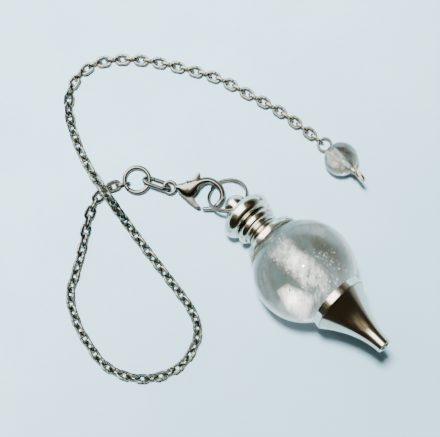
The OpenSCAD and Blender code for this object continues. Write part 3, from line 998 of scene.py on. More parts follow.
@dataclass
class QuartzBall:
    """The clear quartz ball with the veils and flecks inside it."""

    middle: Triple = (15.1616, -9.8397, 9.75)
    radius: float = 9.75
    inner_limit: float = 9.3
    rows: int = 128
    sides: int = 192
    white_veils: tuple[VeilRow, ...] = (
        VeilRow((-0.9, 0.0, 0.8), 5.4, 2.0, 6.0, 12.0, 0.5, 11),
        VeilRow((-0.6, 0.3, -0.8), 5.0, 1.7, 2.0, -14.0, 0.5, 12),
        VeilRow((-1.6, -0.2, 2.2), 4.4, 1.4, 9.0, 8.0, 0.5, 13),
        VeilRow((1.2, -0.4, 0.2), 3.2, 1.6, -8.0, 30.0, 0.4, 14),
        VeilRow((-2.4, 0.4, 0.0), 3.0, 1.1, 14.0, -34.0, 0.4, 15),
    )
    # Sheets that glow as painted light: bright patches low in the ball
    painted_glow_patches: tuple[VeilRow, ...] = (
        VeilRow((1.6, -2.4, -4.6), 1.5, 1.1, 20.0, 6.0, 0.12, 31),
        VeilRow((0.8, -2.7, -4.2), 1.2, 0.8, -12.0, -8.0, 0.12, 32),
    )
    # Dark sheets of painted shade: six darken patches near the ball's sides, and the last lies wide and low
    # across it
    painted_shade_veils: tuple[VeilRow, ...] = (
        VeilRow((-0.3, 4.4, 0.6), 3.4, 1.7, -4.0, 16.0, 0.5, 21),
        VeilRow((0.6, 4.0, -1.0), 3.0, 1.6, 6.0, -12.0, 0.5, 22),
        VeilRow((1.6, 4.6, 1.6), 2.2, 1.3, -14.0, 10.0, 0.4, 23),
        VeilRow((-3.2, -4.2, 0.2), 3.0, 1.3, -30.0, 14.0, 0.5, 24),
        VeilRow((-2.6, -4.6, -1.4), 2.6, 1.1, -24.0, -10.0, 0.4, 25),
        VeilRow((0.4, -5.2, -1.0), 2.6, 1.0, 12.0, 12.0, 0.4, 26),
        VeilRow((0.0, 0.4, -2.6), 7.4, 6.6, 0.0, 0.0, 0.3, 27),
    )
    # Rows are a cloud's middle, reach, count, sizes and seed, as the method flecks takes them
    painted_glow_flecks: tuple[FleckRow, ...] = (
        ((-0.5, 0.0, 1.0), (6.0, 2.6, 3.6), 150, (0.03, 0.11), 31),
        ((1.0, 3.6, 2.0), (3.0, 1.6, 2.4), 40, (0.03, 0.08), 32),
    )
    dark_flecks: tuple[FleckRow, ...] = (
        ((1.3, -2.3, -3.0), (1.7, 0.5, 0.2), 40, (0.05, 0.13), 41),
        ((0.0, 0.0, 0.6), (4.6, 2.2, 2.4), 60, (0.03, 0.08), 42),
    )

    def skin(self) -> Shape:
        """Gives the ball: a half circle turned round the upright axis.

        Returns:
            The surface.
        """
        t = np.linspace(-math.pi / 2, math.pi / 2, self.rows)
        profile = self.radius * circle(t)
        profile[[0, -1], 0] = 0
        return turned(profile, self.sides, False).at(Place(self.middle, np.eye(3)))

    def veils(self, rows: tuple[VeilRow, ...]) -> Shape:
        """Returns the sheets of a table of veils as one surface."""
        return joined([row.sheet(self.middle, BOB_HEADING, self.inner_limit) for row in rows])

    def flecks(
        self, middle: Triple, reach: Triple, count: int, sizes: Pair, seed: int,
    ) -> Shape:
        """Gives a cloud of flecks placed along the bob's heading.

        Args:
            middle: its middle from the ball's centre: along, across and up.
            reach: its half-lengths along, across and up.
            count: how many flecks it has.
            sizes: the smallest and the largest half-size.
            seed: the seed of its flecks.

        Returns:
            The surface.
        """
        axes = turn("z", BOB_HEADING)
        spot = np.array(self.middle) + axes @ np.array(middle)
        return fleck_cloud(
            spot, (axes * np.array(reach)).T, count, sizes, seed, self.middle, self.inner_limit
        )

    def build(self, finishes: Finishes) -> None:
        """Builds and dresses the ball, its veils and its flecks.

        Args:
            finishes: the finishes.
        """
        finishes.add("ball_skin", self.skin(), SMOOTH_DEG, Look.QUARTZ, "quartz_ball")
        for name, rows, look in (
            ("ball_white_veils_painted_glow", self.white_veils, Look.VEIL),
            ("ball_painted_glow_patch", self.painted_glow_patches, Look.PATCH),
            ("ball_painted_shade_veils", self.painted_shade_veils, Look.PAINTED_SHADE_VEIL),
        ):
            finishes.add(name, self.veils(rows), SMOOTH_DEG, look)
        for name, rows, look in (
            ("ball_painted_glow_flecks", self.painted_glow_flecks, Look.PAINTED_GLOW_FLECK),
            ("ball_dark_flecks", self.dark_flecks, Look.DARK_FLECK),
        ):
            finishes.add(name, joined([self.flecks(*row) for row in rows]), FACET_DEG, look)


@dataclass
class BobMetal:
    """The turned metal of the bob: the flared cone point, the top cap and its bail.

    Heights are from the ball's centre. A ring has its height, its diameter and its thickness.
    """

    ball: QuartzBall = field(default_factory=QuartzBall)
    tilt: float = 17.5746
    seat_r: float = 9.85
    cone_mouth_d: float = 11.5
    cone_rim_d: float = 11.8
    cone_mouth_at: float = 7.9975
    cone_flare_at: float = 9.4975
    cone_flare_len: float = 11.4
    cone_tip_d: float = 3.0
    cone_flare_power: float = 1.95
    cone_wall: float = 0.45
    flange_d: float = 11.4
    flange_top_d: float = 10.5
    flange_foot: float = 8.5332
    flange_top: float = 9.9332
    neck_d: float = 5.4
    collar: Triple = (10.9862, 6.4, 0.9)
    thin_ring: Triple = (11.8345, 6.8, 0.7)
    middle_ring: Triple = (13.0045, 8.5, 2.0)
    big_ring: Triple = (15.7832, 10.3, 3.2)
    rim_disc: Triple = (17.2832, 7.6, 0.5)
    bail_at: float = 18.3832
    bail_d: float = 4.5
    bail_hole_d: float = 2.0
    bail_hole_mid: Triple = (2.41234, 2.25885, 5.02229)
    bail_hole_way: Triple = (-0.857619, -0.481878, 0.179674)
    trumpet_d: float = 8.2
    trumpet_fall: float = 0.32
    flare_steps: int = 90
    corner_steps: int = 6
    ring_steps: int = 34
    trumpet_steps: int = 16
    seat_steps: int = 20
    bail_rows: int = 40
    bail_sides: int = 96
    hole_rows: int = 14
    edge_skip: float = 0.0005
    sides: int = 160

    def place(self, towards_tip: bool) -> Place:
        """Gives the bob's axis as a place whose Z runs from the ball's centre.

        Args:
            towards_tip: whether Z runs to the cone's tip or to the bail.

        Returns:
            The place.
        """
        axes = turn("z", BOB_HEADING) @ turn("y", 90 - self.tilt)
        return Place(self.ball.middle, axes if towards_tip else axes @ np.diag([1.0, -1.0, -1.0]))

    def cone_profile(self) -> tuple[Array, Array]:
        """Gives the cone's wall as one closed profile, and its mask of painted shade.

        Outside, the rim band stands between two fine beads, and the flare's radius is
        tip + (rim - tip)(1 - t)^p. Inside, it is the same less the wall.

        Returns:
            Rows of radius and height, and the mask of each row.
        """
        mouth, rim, tip = self.cone_mouth_d / 2, self.cone_rim_d / 2, self.cone_tip_d / 2
        mouth_at, flare_at, wall = self.cone_mouth_at, self.cone_flare_at, self.cone_wall
        tip_at = flare_at + self.cone_flare_len
        t = np.linspace(0, 1, self.flare_steps)[1:-1]
        flare_r = tip + (rim - tip) * (1 - t) ** self.cone_flare_power
        flare = np.stack([flare_r, flare_at + self.cone_flare_len * t], axis=-1)
        band = rounded([
            (mouth - wall, mouth_at + 0.25, 0.0), (mouth, mouth_at, 0.12),
            (mouth + 0.02, mouth_at + 0.3, 0.1), (rim - 0.03, flare_at - 0.35, 0.1),
            (rim, flare_at - 0.15, 0.1), (rim, flare_at, 0.08), (rim - 0.12, flare_at + 0.1, 0.0),
        ], self.corner_steps, False)
        lip_t = np.linspace(0, math.pi, 2 * self.corner_steps)
        lip_r = wall / 2
        lip = [tip - lip_r, tip_at - lip_r] + lip_r * circle(lip_t)
        outer = np.concatenate([band, flare[flare[:, 1] > flare_at + 0.15]])
        outer, inside = (a[a[:, 1] < tip_at - lip_r] for a in (outer, flare[::-1] - [wall, 0]))
        profile = np.concatenate([outer, lip, inside])
        point_mask = np.zeros(len(profile))
        # painted shade: the inside of the cone is darkened fully
        point_mask[len(outer) + len(lip):] = 1.0
        # painted shade in the crease between the rim band and the flare
        point_mask[:len(outer)] = 0.8 * np.exp(-((outer[:, 1] - flare_at - 0.1) / 0.12) ** 2)
        return profile, point_mask

    def stack_rows(self, low: float, high: float) -> Array:
        """Gives the turned stack between two heights, from its rings and its trumpet.

        At each height z the radius is the largest of the neck, the trumpet
        neck + (foot - neck) exp(-(z - low) / fall), and core + sqrt(roll^2 / 4 - (z - at)^2) of
        each ring that z lies in.

        Args:
            low: the lower height.
            high: the upper height.

        Returns:
            Rows of radius and height.
        """
        rings = np.array([self.collar, self.thin_ring, self.middle_ring, self.big_ring])
        at, core, half = rings[:, :1], (rings[:, 1:2] - rings[:, 2:]) / 2, rings[:, 2:] / 2
        swing = np.sin(np.linspace(-math.pi / 2, math.pi / 2, self.ring_steps))
        edges = np.array([-1, 1]) * (1 + self.edge_skip)
        z = np.sort(np.r_[
            np.linspace(low, low + 1, self.trumpet_steps), (at + half * edges).reshape(-1),
            (at + half * swing).reshape(-1),
        ])
        z = z[(z >= low) & (z <= high)]
        inside = half ** 2 - (z - at) ** 2
        ring_r = np.where(inside >= 0, core + np.sqrt(np.maximum(inside, 0)), 0)
        neck = self.neck_d / 2
        trumpet = neck + (self.trumpet_d / 2 - neck) * np.exp(-(z - low) / self.trumpet_fall)
        return np.stack([np.maximum(ring_r.max(axis=0), trumpet), z], axis=-1)

    def cap_profile(self) -> tuple[Array, Array]:
        """Gives the top cap from its seat on the ball to its top face, and its mask of painted shade.

        The seat is the ball's own curve, r = R cos t and z = R sin t, as far as the flange's
        flat face. The stack follows, and the rim disc's edge is rounded.

        Returns:
            Rows of radius and height, and the mask of each row.
        """
        foot, top, neck = self.flange_foot, self.flange_top, self.neck_d / 2
        seat_t = np.linspace(math.pi / 2, math.asin(foot / self.seat_r), self.seat_steps)
        seat = self.seat_r * circle(seat_t)
        seat[0, 0] = 0
        out, inn = self.flange_d / 2, self.flange_top_d / 2
        flange = rounded([
            (out - 0.1, foot, 0.0), (out, foot + 0.05, 0.04), (out, foot + 0.34, 0.1),
            (out - 0.12, foot + 0.4, 0.05), (out - 0.1, foot + 0.5, 0.06),
            (inn + 0.04, top - 0.1, 0.2), (inn - 0.3, top, 0.2), (inn - 0.6, top + 0.01, 0.0),
        ], self.corner_steps, False)
        disc_at, disc_d, disc_h = self.rim_disc
        edge, disc_low, disc_top = disc_d / 2, disc_at - disc_h / 2, disc_at + disc_h / 2
        disc = rounded([
            (edge - 0.55, disc_low - 0.06, 0.0), (edge - 0.5, disc_low, 0.05), (edge, disc_low + 0.05, 0.18),
            (edge, disc_top, 0.25), (edge - 0.7, disc_top, 0.3), (edge - 0.9, disc_top - 0.12, 0.1),
            (0, disc_top - 0.12, 0.0),
        ], self.corner_steps, False)
        ring_at, ring_d, ring_roll = self.big_ring
        lip = edge + 0.25 - (ring_d - ring_roll) / 2
        stack = self.stack_rows(top + 0.02, ring_at + math.sqrt(ring_roll ** 2 / 4 - lip ** 2))
        profile = np.concatenate([seat, flange, stack, disc])
        depth = np.zeros(len(profile))
        first = len(seat) + len(flange)
        # painted shade where the stack is narrow: on the neck and in the low grooves between rings
        depth[first:first + len(stack)] = np.clip((neck + 0.75 - stack[:, 0]) / 0.6, 0, 1)
        # painted shade in the groove under the rim disc
        groove = np.hypot(profile[:, 0] - (edge - 0.5), profile[:, 1] - disc_low)
        depth = np.maximum(depth, np.exp(-(groove / 0.35) ** 2))
        # painted shade on the seat, where the cap meets the ball
        depth[:len(seat)] = 1
        depth[-1] = 0
        return profile, depth

    def bail(self) -> Shape:
        """Gives the domed bail as one skin from its hole, over its outside and back through.

        In a frame whose Z is the hole's way, a point of the ball is (x, y) = mix(hole, waist, sin t)
        with z = sqrt(R^2 - x^2 - y^2), above and below, and the hole's wall joins the two.

        Returns:
            The surface in the model's frame.
        """
        way = np.array(self.bail_hole_way)
        side = unit(np.cross(UP, way))
        axes = np.stack([side, np.cross(way, side), way], axis=-1)
        centre = self.place(False).to_frame(UP * self.bail_at)
        hole = (axes.T @ (np.array(self.bail_hole_mid) - centre))[:2]
        radius, hole_r = self.bail_d / 2, self.bail_hole_d / 2
        ring = circle(np.linspace(0, FULL_TURN, self.bail_sides, endpoint=False))
        rim, waist = hole + (hole_r + 0.08) * ring, radius * ring
        plan = rim + (waist - rim) * np.sin(np.linspace(0, math.pi / 2, self.bail_rows))[:, None, None]
        lift = np.sqrt(np.maximum(radius ** 2 - (plan ** 2).sum(axis=-1), 0))
        top = np.concatenate([plan, lift[..., None]], axis=-1)
        low = top[::-1][1:] * [1, 1, -1]
        wall_top = np.sqrt(radius ** 2 - (rim ** 2).sum(axis=-1)) - 0.06
        wall_z = np.linspace(-1, 1, self.hole_rows)[:, None] * wall_top
        wall_plan = np.broadcast_to(hole + hole_r * ring, (*wall_z.shape, 2))
        points = np.concatenate([top, low, np.concatenate([wall_plan, wall_z[..., None]], axis=-1)])
        mask = np.zeros(points.shape[:2])
        # painted shade on the wall inside the hole
        mask[-self.hole_rows:] = 1
        return grid(points, True, True, mask).at(Place(centre, axes))

    def build(self, finishes: Finishes) -> None:
        """Builds and dresses the cone point and the top cap.

        Args:
            finishes: the finishes.
        """
        profile, point_mask = self.cone_profile()
        cone = turned(profile, self.sides, True, point_mask).at(self.place(True))
        finishes.add("cone_point_shell", cone, TURNED_DEG, Look.POLISHED, "cone_point")
        profile, point_mask = self.cap_profile()
        stack = turned(profile, self.sides, False, point_mask).at(self.place(False))
        cap = joined([stack, self.bail()])
        finishes.add("top_cap_turned", cap, TURNED_DEG, Look.POLISHED, "top_cap")


@dataclass
class SplitRing:
    """The split ring of nearly two turns, which hangs in the bail and leans on the surface."""

    middle: Triple = (0.7943, 4.3603, 2.9351)
    heading: float = 16.8
    lean: float = 40.0917
    start_at: float = 223.8
    turns: float = 1.88
    ring_r: float = 3.75
    wire: float = 0.5
    turn_step: float = 0.54
    # painted shade on the wire's sides that face the other turn
    groove_painted_shade: float = 0.9
    steps: int = 260
    sides: int = 16

    def build(self, finishes: Finishes) -> None:
        """Builds and dresses the ring: a round wire carried along two flat turns and a crossover.

        The wire's middle is R out(a), and its shift along the ring's axis is one turn step,
        made evenly over the short stretch where only one turn lies.

        Args:
            finishes: the finishes.
        """
        axes = turn("z", self.heading) @ turn("x", -self.lean) @ np.diag([1.0, -1.0, -1.0])
        along = np.linspace(0, self.turns, self.steps)
        a = np.radians(self.start_at) + FULL_TURN * along
        out = level(a)
        shift = np.clip((along - (self.turns - 1)) / (2 - self.turns), 0, 1) - 0.5
        section = oval(self.wire, self.wire, self.sides)
        ring = wire(
            out * self.ring_r + UP * (self.turn_step * shift)[:, None], out, UP, section,
            point_mask=self.groove_painted_shade * edge_mask(section[:, ::-1], self.wire),
        )
        place = Place(self.middle, axes)
        finishes.add("split_ring_wire", ring.at(place), WIRE_DEG, Look.FINDING, "split_ring")


@dataclass
class LobsterClasp:
    """The lobster clasp: body with eye and hook, lever and hinge pin."""

    eye: Triple = (-10.3057, 5.9603, 1.3392)
    rise: float = 4.65898
    roll: float = 3.5
    eye_r: float = 1.125
    eye_wire: float = 0.65
    body_t: float = 2.4
    lever_t: float = 0.8
    slot_gap: float = 0.1
    pivot: Pair = (3.4, -0.3)
    pin_d: float = 0.6
    pin_fit: float = 0.02
    bore_fit: float = 0.04
    pin_inset: float = 0.1
    body_power: float = 2.15
    body_sides: int = 40
    row_steps: int = 9
    eye_power: float = 2.4
    eye_sides: tuple[int, int] = (24, 96)
    slot_edge: float = 0.02
    lever_edge: float = 0.12
    pin_dome: float = 0.05
    # Rows are x, y, width and thickness as a share of the body's thickness
    body_rows: tuple[Row, ...] = (
        (1.10, 0.00, 0.80, 0.46), (1.95, -0.12, 1.85, 0.76), (2.90, -0.36, 3.05, 0.95),
        (3.75, -0.30, 3.65, 1.00), (4.60, 0.18, 2.95, 0.98), (5.45, 0.78, 2.10, 0.88),
        (6.50, 1.24, 1.40, 0.72), (7.60, 1.34, 1.15, 0.63), (8.75, 0.85, 1.12, 0.60),
        (9.70, -0.08, 1.12, 0.58), (10.12, -1.30, 1.10, 0.58), (9.92, -2.40, 1.05, 0.57),
        (9.25, -3.28, 0.98, 0.55), (8.40, -3.86, 0.88, 0.52), (7.40, -4.10, 0.80, 0.48),
        (6.50, -4.10, 0.68, 0.44), (6.25, -4.08, 0.40, 0.28),
    )
    # Rows are x, y and the reach of the rounded corner
    lever_rows: tuple[Triple, ...] = (
        (1.5, -0.95, 0.15), (2.6, -2.05, 0.5), (3.75, -3.1, 0.5), (4.9, -3.95, 0.4), (5.6, -4.2, 0.2),
        (5.9, -4.05, 0.12), (5.95, -3.8, 0.12), (5.3, -3.2, 0.3), (4.7, -2.2, 0.5), (4.5, -0.8, 0.5),
        (4.55, 0.3, 0.5), (5.9, 1.6, 0.5), (5.85, 2.7, 0.2), (5.65, 2.9, 0.12), (5.35, 2.85, 0.15),
        (4.4, 1.75, 0.5), (3.2, 0.6, 0.4), (2.5, 0.2, 0.3),
    )
    slot_rows: tuple[Triple, ...] = (
        (1.5, -4, 0), (1.5, -0.2, 0), (2.3, 0.6, 0), (3.1, 1, 0), (3.3, 3, 0), (6.5, 3, 0),
        (6.2, 1.3, 0), (5.8, 0.4, 0), (6.3, -1, 0), (5, -4, 0),
    )

    def body_form(self) -> Shape:
        """Gives the body and hook: an oval section carried along the clasp's curve.

        Returns:
            The surface in the clasp's frame.
        """
        rows = smooth_rows(np.array(self.body_rows), self.row_steps)
        path = rows[:, :3] * [1, 1, 0]
        width = 2.0
        base = oval(width, width, self.body_sides, self.body_power)
        section = base * (rows[:, None, 2:] * [1, self.body_t] / width)
        share = np.ones(len(path))
        share[:2] = (0.6, 0.9)
        share[-3:] = (0.95, 0.8, 0.5)
        # painted shade along the two sides of the body's section
        point_mask = EDGE_PAINTED_SHADE * edge_mask(base, width)
        return carried(path, flat_side(path, False), UP, section, False, share, point_mask)

    def eye_form(self) -> Shape:
        """Gives the eye: a ring of slightly flattened wire, turned round the Z axis.

        Returns:
            The surface in the clasp's frame.
        """
        section = oval(self.eye_wire, self.eye_wire, self.eye_sides[0], self.eye_power)
        # painted shade along the two sides of the eye's wire
        point_mask = EDGE_PAINTED_SHADE * edge_mask(section, self.eye_wire)
        return turned(section + [self.eye_r, 0], self.eye_sides[1], True, point_mask)

    def plate(self, rows: tuple[Triple, ...], thick: float, edge: float) -> Shape:
        """Gives a flat plate with rounded edges from an outline.

        The outline is offset inwards by edge (1 - cos t) while the height runs to thick / 2 by
        edge sin t. Its two flat faces are left open, for make_piece to close.

        Args:
            rows: the outline.
            thick: the plate's thickness.
            edge: the radius of its rounded edge.

        Returns:
            The surface in the clasp's frame.
        """
        x, y = rounded(rows, 6, True).T
        path = np.stack([x, y, 0 * x], axis=-1)
        area = np.sum(x * np.roll(y, -1) - np.roll(x, -1) * y)
        inwards = flat_side(path, True) * np.sign(area)
        t = np.linspace(0, math.pi / 2, 5)
        inset = np.r_[edge * (1 - np.sin(t)), edge * (1 - np.cos(t))]
        layers = path + inset[:, None, None] * inwards
        height = np.r_[-(thick / 2 - edge + edge * np.cos(t)), thick / 2 - edge + edge * np.sin(t)]
        layers[..., 2] = height[:, None]
        return grid(layers, False, True)

    def pin(self, radius: float, half: float, dome: float) -> Shape:
        """Gives a pin along Z at the pivot, with slightly domed ends.

        Args:
            radius: its radius.
            half: half its length.
            dome: how far its ends stand out in the middle.

        Returns:
            The surface in the clasp's frame.
        """
        profile = rounded([
            (0, -half, 0), (radius * 0.7, -half + dome * 0.3, 0.1), (radius, -half + dome, 0.05),
            (radius, half - dome, 0.05), (radius * 0.7, half - dome * 0.3, 0.1), (0, half, 0),
        ], 4, False)
        return turned(profile, 40, False).at(Place((*self.pivot, 0.0), np.eye(3)))

    def build(self, finishes: Finishes) -> None:
        """Builds and dresses the body, the lever and the pin.

        The clasp's frame has Z across its flat sides and X from its eye to its hook.

        Args:
            finishes: the finishes.
        """
        place = Place(self.eye, turn("y", -self.rise) @ turn("x", self.roll))
        slot = self.plate(self.slot_rows, self.lever_t + 2 * self.slot_gap, self.slot_edge)
        seat = self.pin(self.pin_d / 2 + self.pin_fit, self.body_t, 0.0)
        bore = self.pin(self.pin_d / 2 + self.bore_fit, self.body_t, 0.0)
        body = make_piece("clasp_body_cast", self.body_form().at(place), WIRE_DEG)
        cut(body, [slot.at(place), seat.at(place)], WIRE_DEG)
        add_shape(body, self.eye_form().at(place), WIRE_DEG)
        finishes.dress(body, Look.FINDING, ("clasp_body",))
        plate = self.plate(self.lever_rows, self.lever_t, self.lever_edge)
        lever = make_piece("clasp_lever_pressed", plate.at(place), WIRE_DEG, True)
        cut(lever, [bore.at(place)], WIRE_DEG)
        finishes.dress(lever, Look.FINDING, ("clasp_lever",), Body.LEVER)
        pin = self.pin(self.pin_d / 2, self.body_t / 2 - self.pin_inset, self.pin_dome)
        finishes.add("clasp_pin_domed", pin.at(place), WIRE_DEG, Look.FINDING, "clasp_pin")


@dataclass(frozen=True)
class WireRing:
    """A bent wire ring, round or oval, with its cut ends facing each other across a fine gap."""

    node: str
    middle: Triple
    heading: float
    rise: float
    lean: float
    straight: float
    end_r: float
    wire: float
    cut_at: float
    gap: float = 0.04
    end_share: float = 0.9
    steps: int = 150
    sides: int = 20

    def build(self, finishes: Finishes) -> None:
        """Builds and dresses the ring, whose path is two half circles joined by two straights.

        Args:
            finishes: the finishes.
        """
        whole = FULL_TURN * self.end_r + 2 * self.straight
        s = (self.cut_at * whole + self.gap / 2 + np.linspace(0, whole - self.gap, self.steps)) % whole
        path, out = stadium(s, self.straight, self.end_r)
        section = oval(self.wire, self.wire, self.sides)
        # painted shade along the wire's two sides
        point_mask = np.tile(EDGE_PAINTED_SHADE * edge_mask(section, self.wire), (self.steps, 1))
        # the two cut ends are darkened fully
        point_mask[[0, 1, -2, -1]] = 1
        ring = wire(path, out, UP, section, self.end_share, point_mask)
        axes = turn("z", self.heading) @ turn("y", -self.rise) @ turn("x", -self.lean)
        place = Place(self.middle, axes)
        finishes.add(f"{self.node}_wire", ring.at(place), WIRE_DEG, Look.FINDING, self.node)


JUMP_RING = WireRing(
    "jump_ring", (-16.6059, 7.4136, 1.2596), heading=5.87486, rise=4.37286, lean=0.0,
    straight=0.0, end_r=2.4, wire=0.8, cut_at=0.62,
)
OVAL_LINK = WireRing(
    "oval_link", (-12.848, 6.6907, 1.4392), heading=-19.0, rise=0.0, lean=60.0,
    straight=2.6, end_r=1.2, wire=0.8, cut_at=0.3,
)


@dataclass
class CableChain:
    """The cable chain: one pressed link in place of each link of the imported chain."""

    straight: float = 0.85
    end_r: float = 0.8
    wire: float = 0.56
    flat_share: float = 0.94
    section_power: float = 3.2
    seam_at: float = 0.27
    seam_width: float = 0.12
    seam_dent: float = 0.08
    inner_painted_shade: float = 0.75
    steps: int = 36
    sides: int = 8

    def link(self) -> Shape:
        """Gives one link: a flattened eight-sided wire round a flat loop, with a soldered seam.

        Returns:
            The surface in the link's own frame, its length along X.
        """
        whole = FULL_TURN * self.end_r + 2 * self.straight
        s = np.linspace(0, whole, self.steps, endpoint=False)
        path, out = stadium(s, self.straight, self.end_r)
        section = oval(self.wire, self.wire * self.flat_share, self.sides, self.section_power)
        seam = np.exp(-((s - whole * self.seam_at) / self.seam_width) ** 2)
        # painted shade on the inner side of each link, where the next links pass; the seam is a dark soldered
        # joint
        inner = np.clip(-section[:, 0] / self.wire * 2.2, 0, 1)
        point_mask = np.maximum(seam[:, None], inner * self.inner_painted_shade)
        return carried(path, out, UP, section, True, 1 - self.seam_dent * seam, point_mask)

    def places(self, node: bpy.types.Object) -> tuple[Array, Array]:
        """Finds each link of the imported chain: its middle and its three axes.

        Triangles that share a corner belong to one link. A link's middle is the mean of its
        surface, and its axes are those along which the surface spreads most, less and least.

        Args:
            node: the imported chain.

        Returns:
            The middles in millimetres, and a matrix for each link with the axes as columns.
        """
        mesh = node.data
        mesh.calc_loop_triangles()
        points = np.empty(len(mesh.vertices) * 3)
        mesh.vertices.foreach_get("co", points)
        points = points.reshape(-1, 3) / MM
        tris = np.empty(len(mesh.loop_triangles) * 3, dtype=np.int64)
        mesh.loop_triangles.foreach_get("vertices", tris)
        tris = tris.reshape(-1, 3)
        cells = np.round(points / CHAIN_WELD_MM).astype(np.int64)
        _, weld = np.unique(cells, axis=0, return_inverse=True)
        corners = weld.reshape(-1)[tris]
        labels, before = np.arange(corners.max() + 1), None
        while not np.array_equal(labels, before):
            before, labels = labels, labels.copy()
            for k in range(3):
                np.minimum.at(labels, corners[:, k], before[corners].min(axis=1))
            labels = labels[labels]
        _, owner = np.unique(labels[corners[:, 0]], return_inverse=True)
        owner = owner.reshape(-1)
        a, b, c = np.moveaxis(points[tris], 1, 0)
        area = np.linalg.norm(np.cross(b - a, c - a), axis=1) / 2
        centre = (a + b + c) / 3
        total = np.bincount(owner, area)
        middle = np.stack([np.bincount(owner, area * centre[:, k]) / total for k in range(3)], axis=-1)
        off = centre - middle[owner]
        spread = np.zeros((len(total), 3, 3))
        np.add.at(spread, owner, area[:, None, None] * off[:, :, None] * off[:, None, :])
        _, ways = np.linalg.eigh(spread)
        axes = ways[:, :, ::-1].copy()
        axes[:, :, 2] = np.cross(axes[:, :, 0], axes[:, :, 1])
        return middle, axes

    def build(self, finishes: Finishes, node: bpy.types.Object) -> None:
        """Builds and dresses the whole chain as one mesh.

        Args:
            finishes: the finishes.
            node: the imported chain.
        """
        middle, axes = self.places(node)
        link = self.link()
        points = link.points @ np.transpose(axes, (0, 2, 1)) + middle[:, None]
        links = copies(points, link.faces, link.point_mask)
        finishes.add("chain_links", links, TURNED_DEG, Look.CHAIN, "chain")
        LOG.info("chain_links: %d links", len(middle))


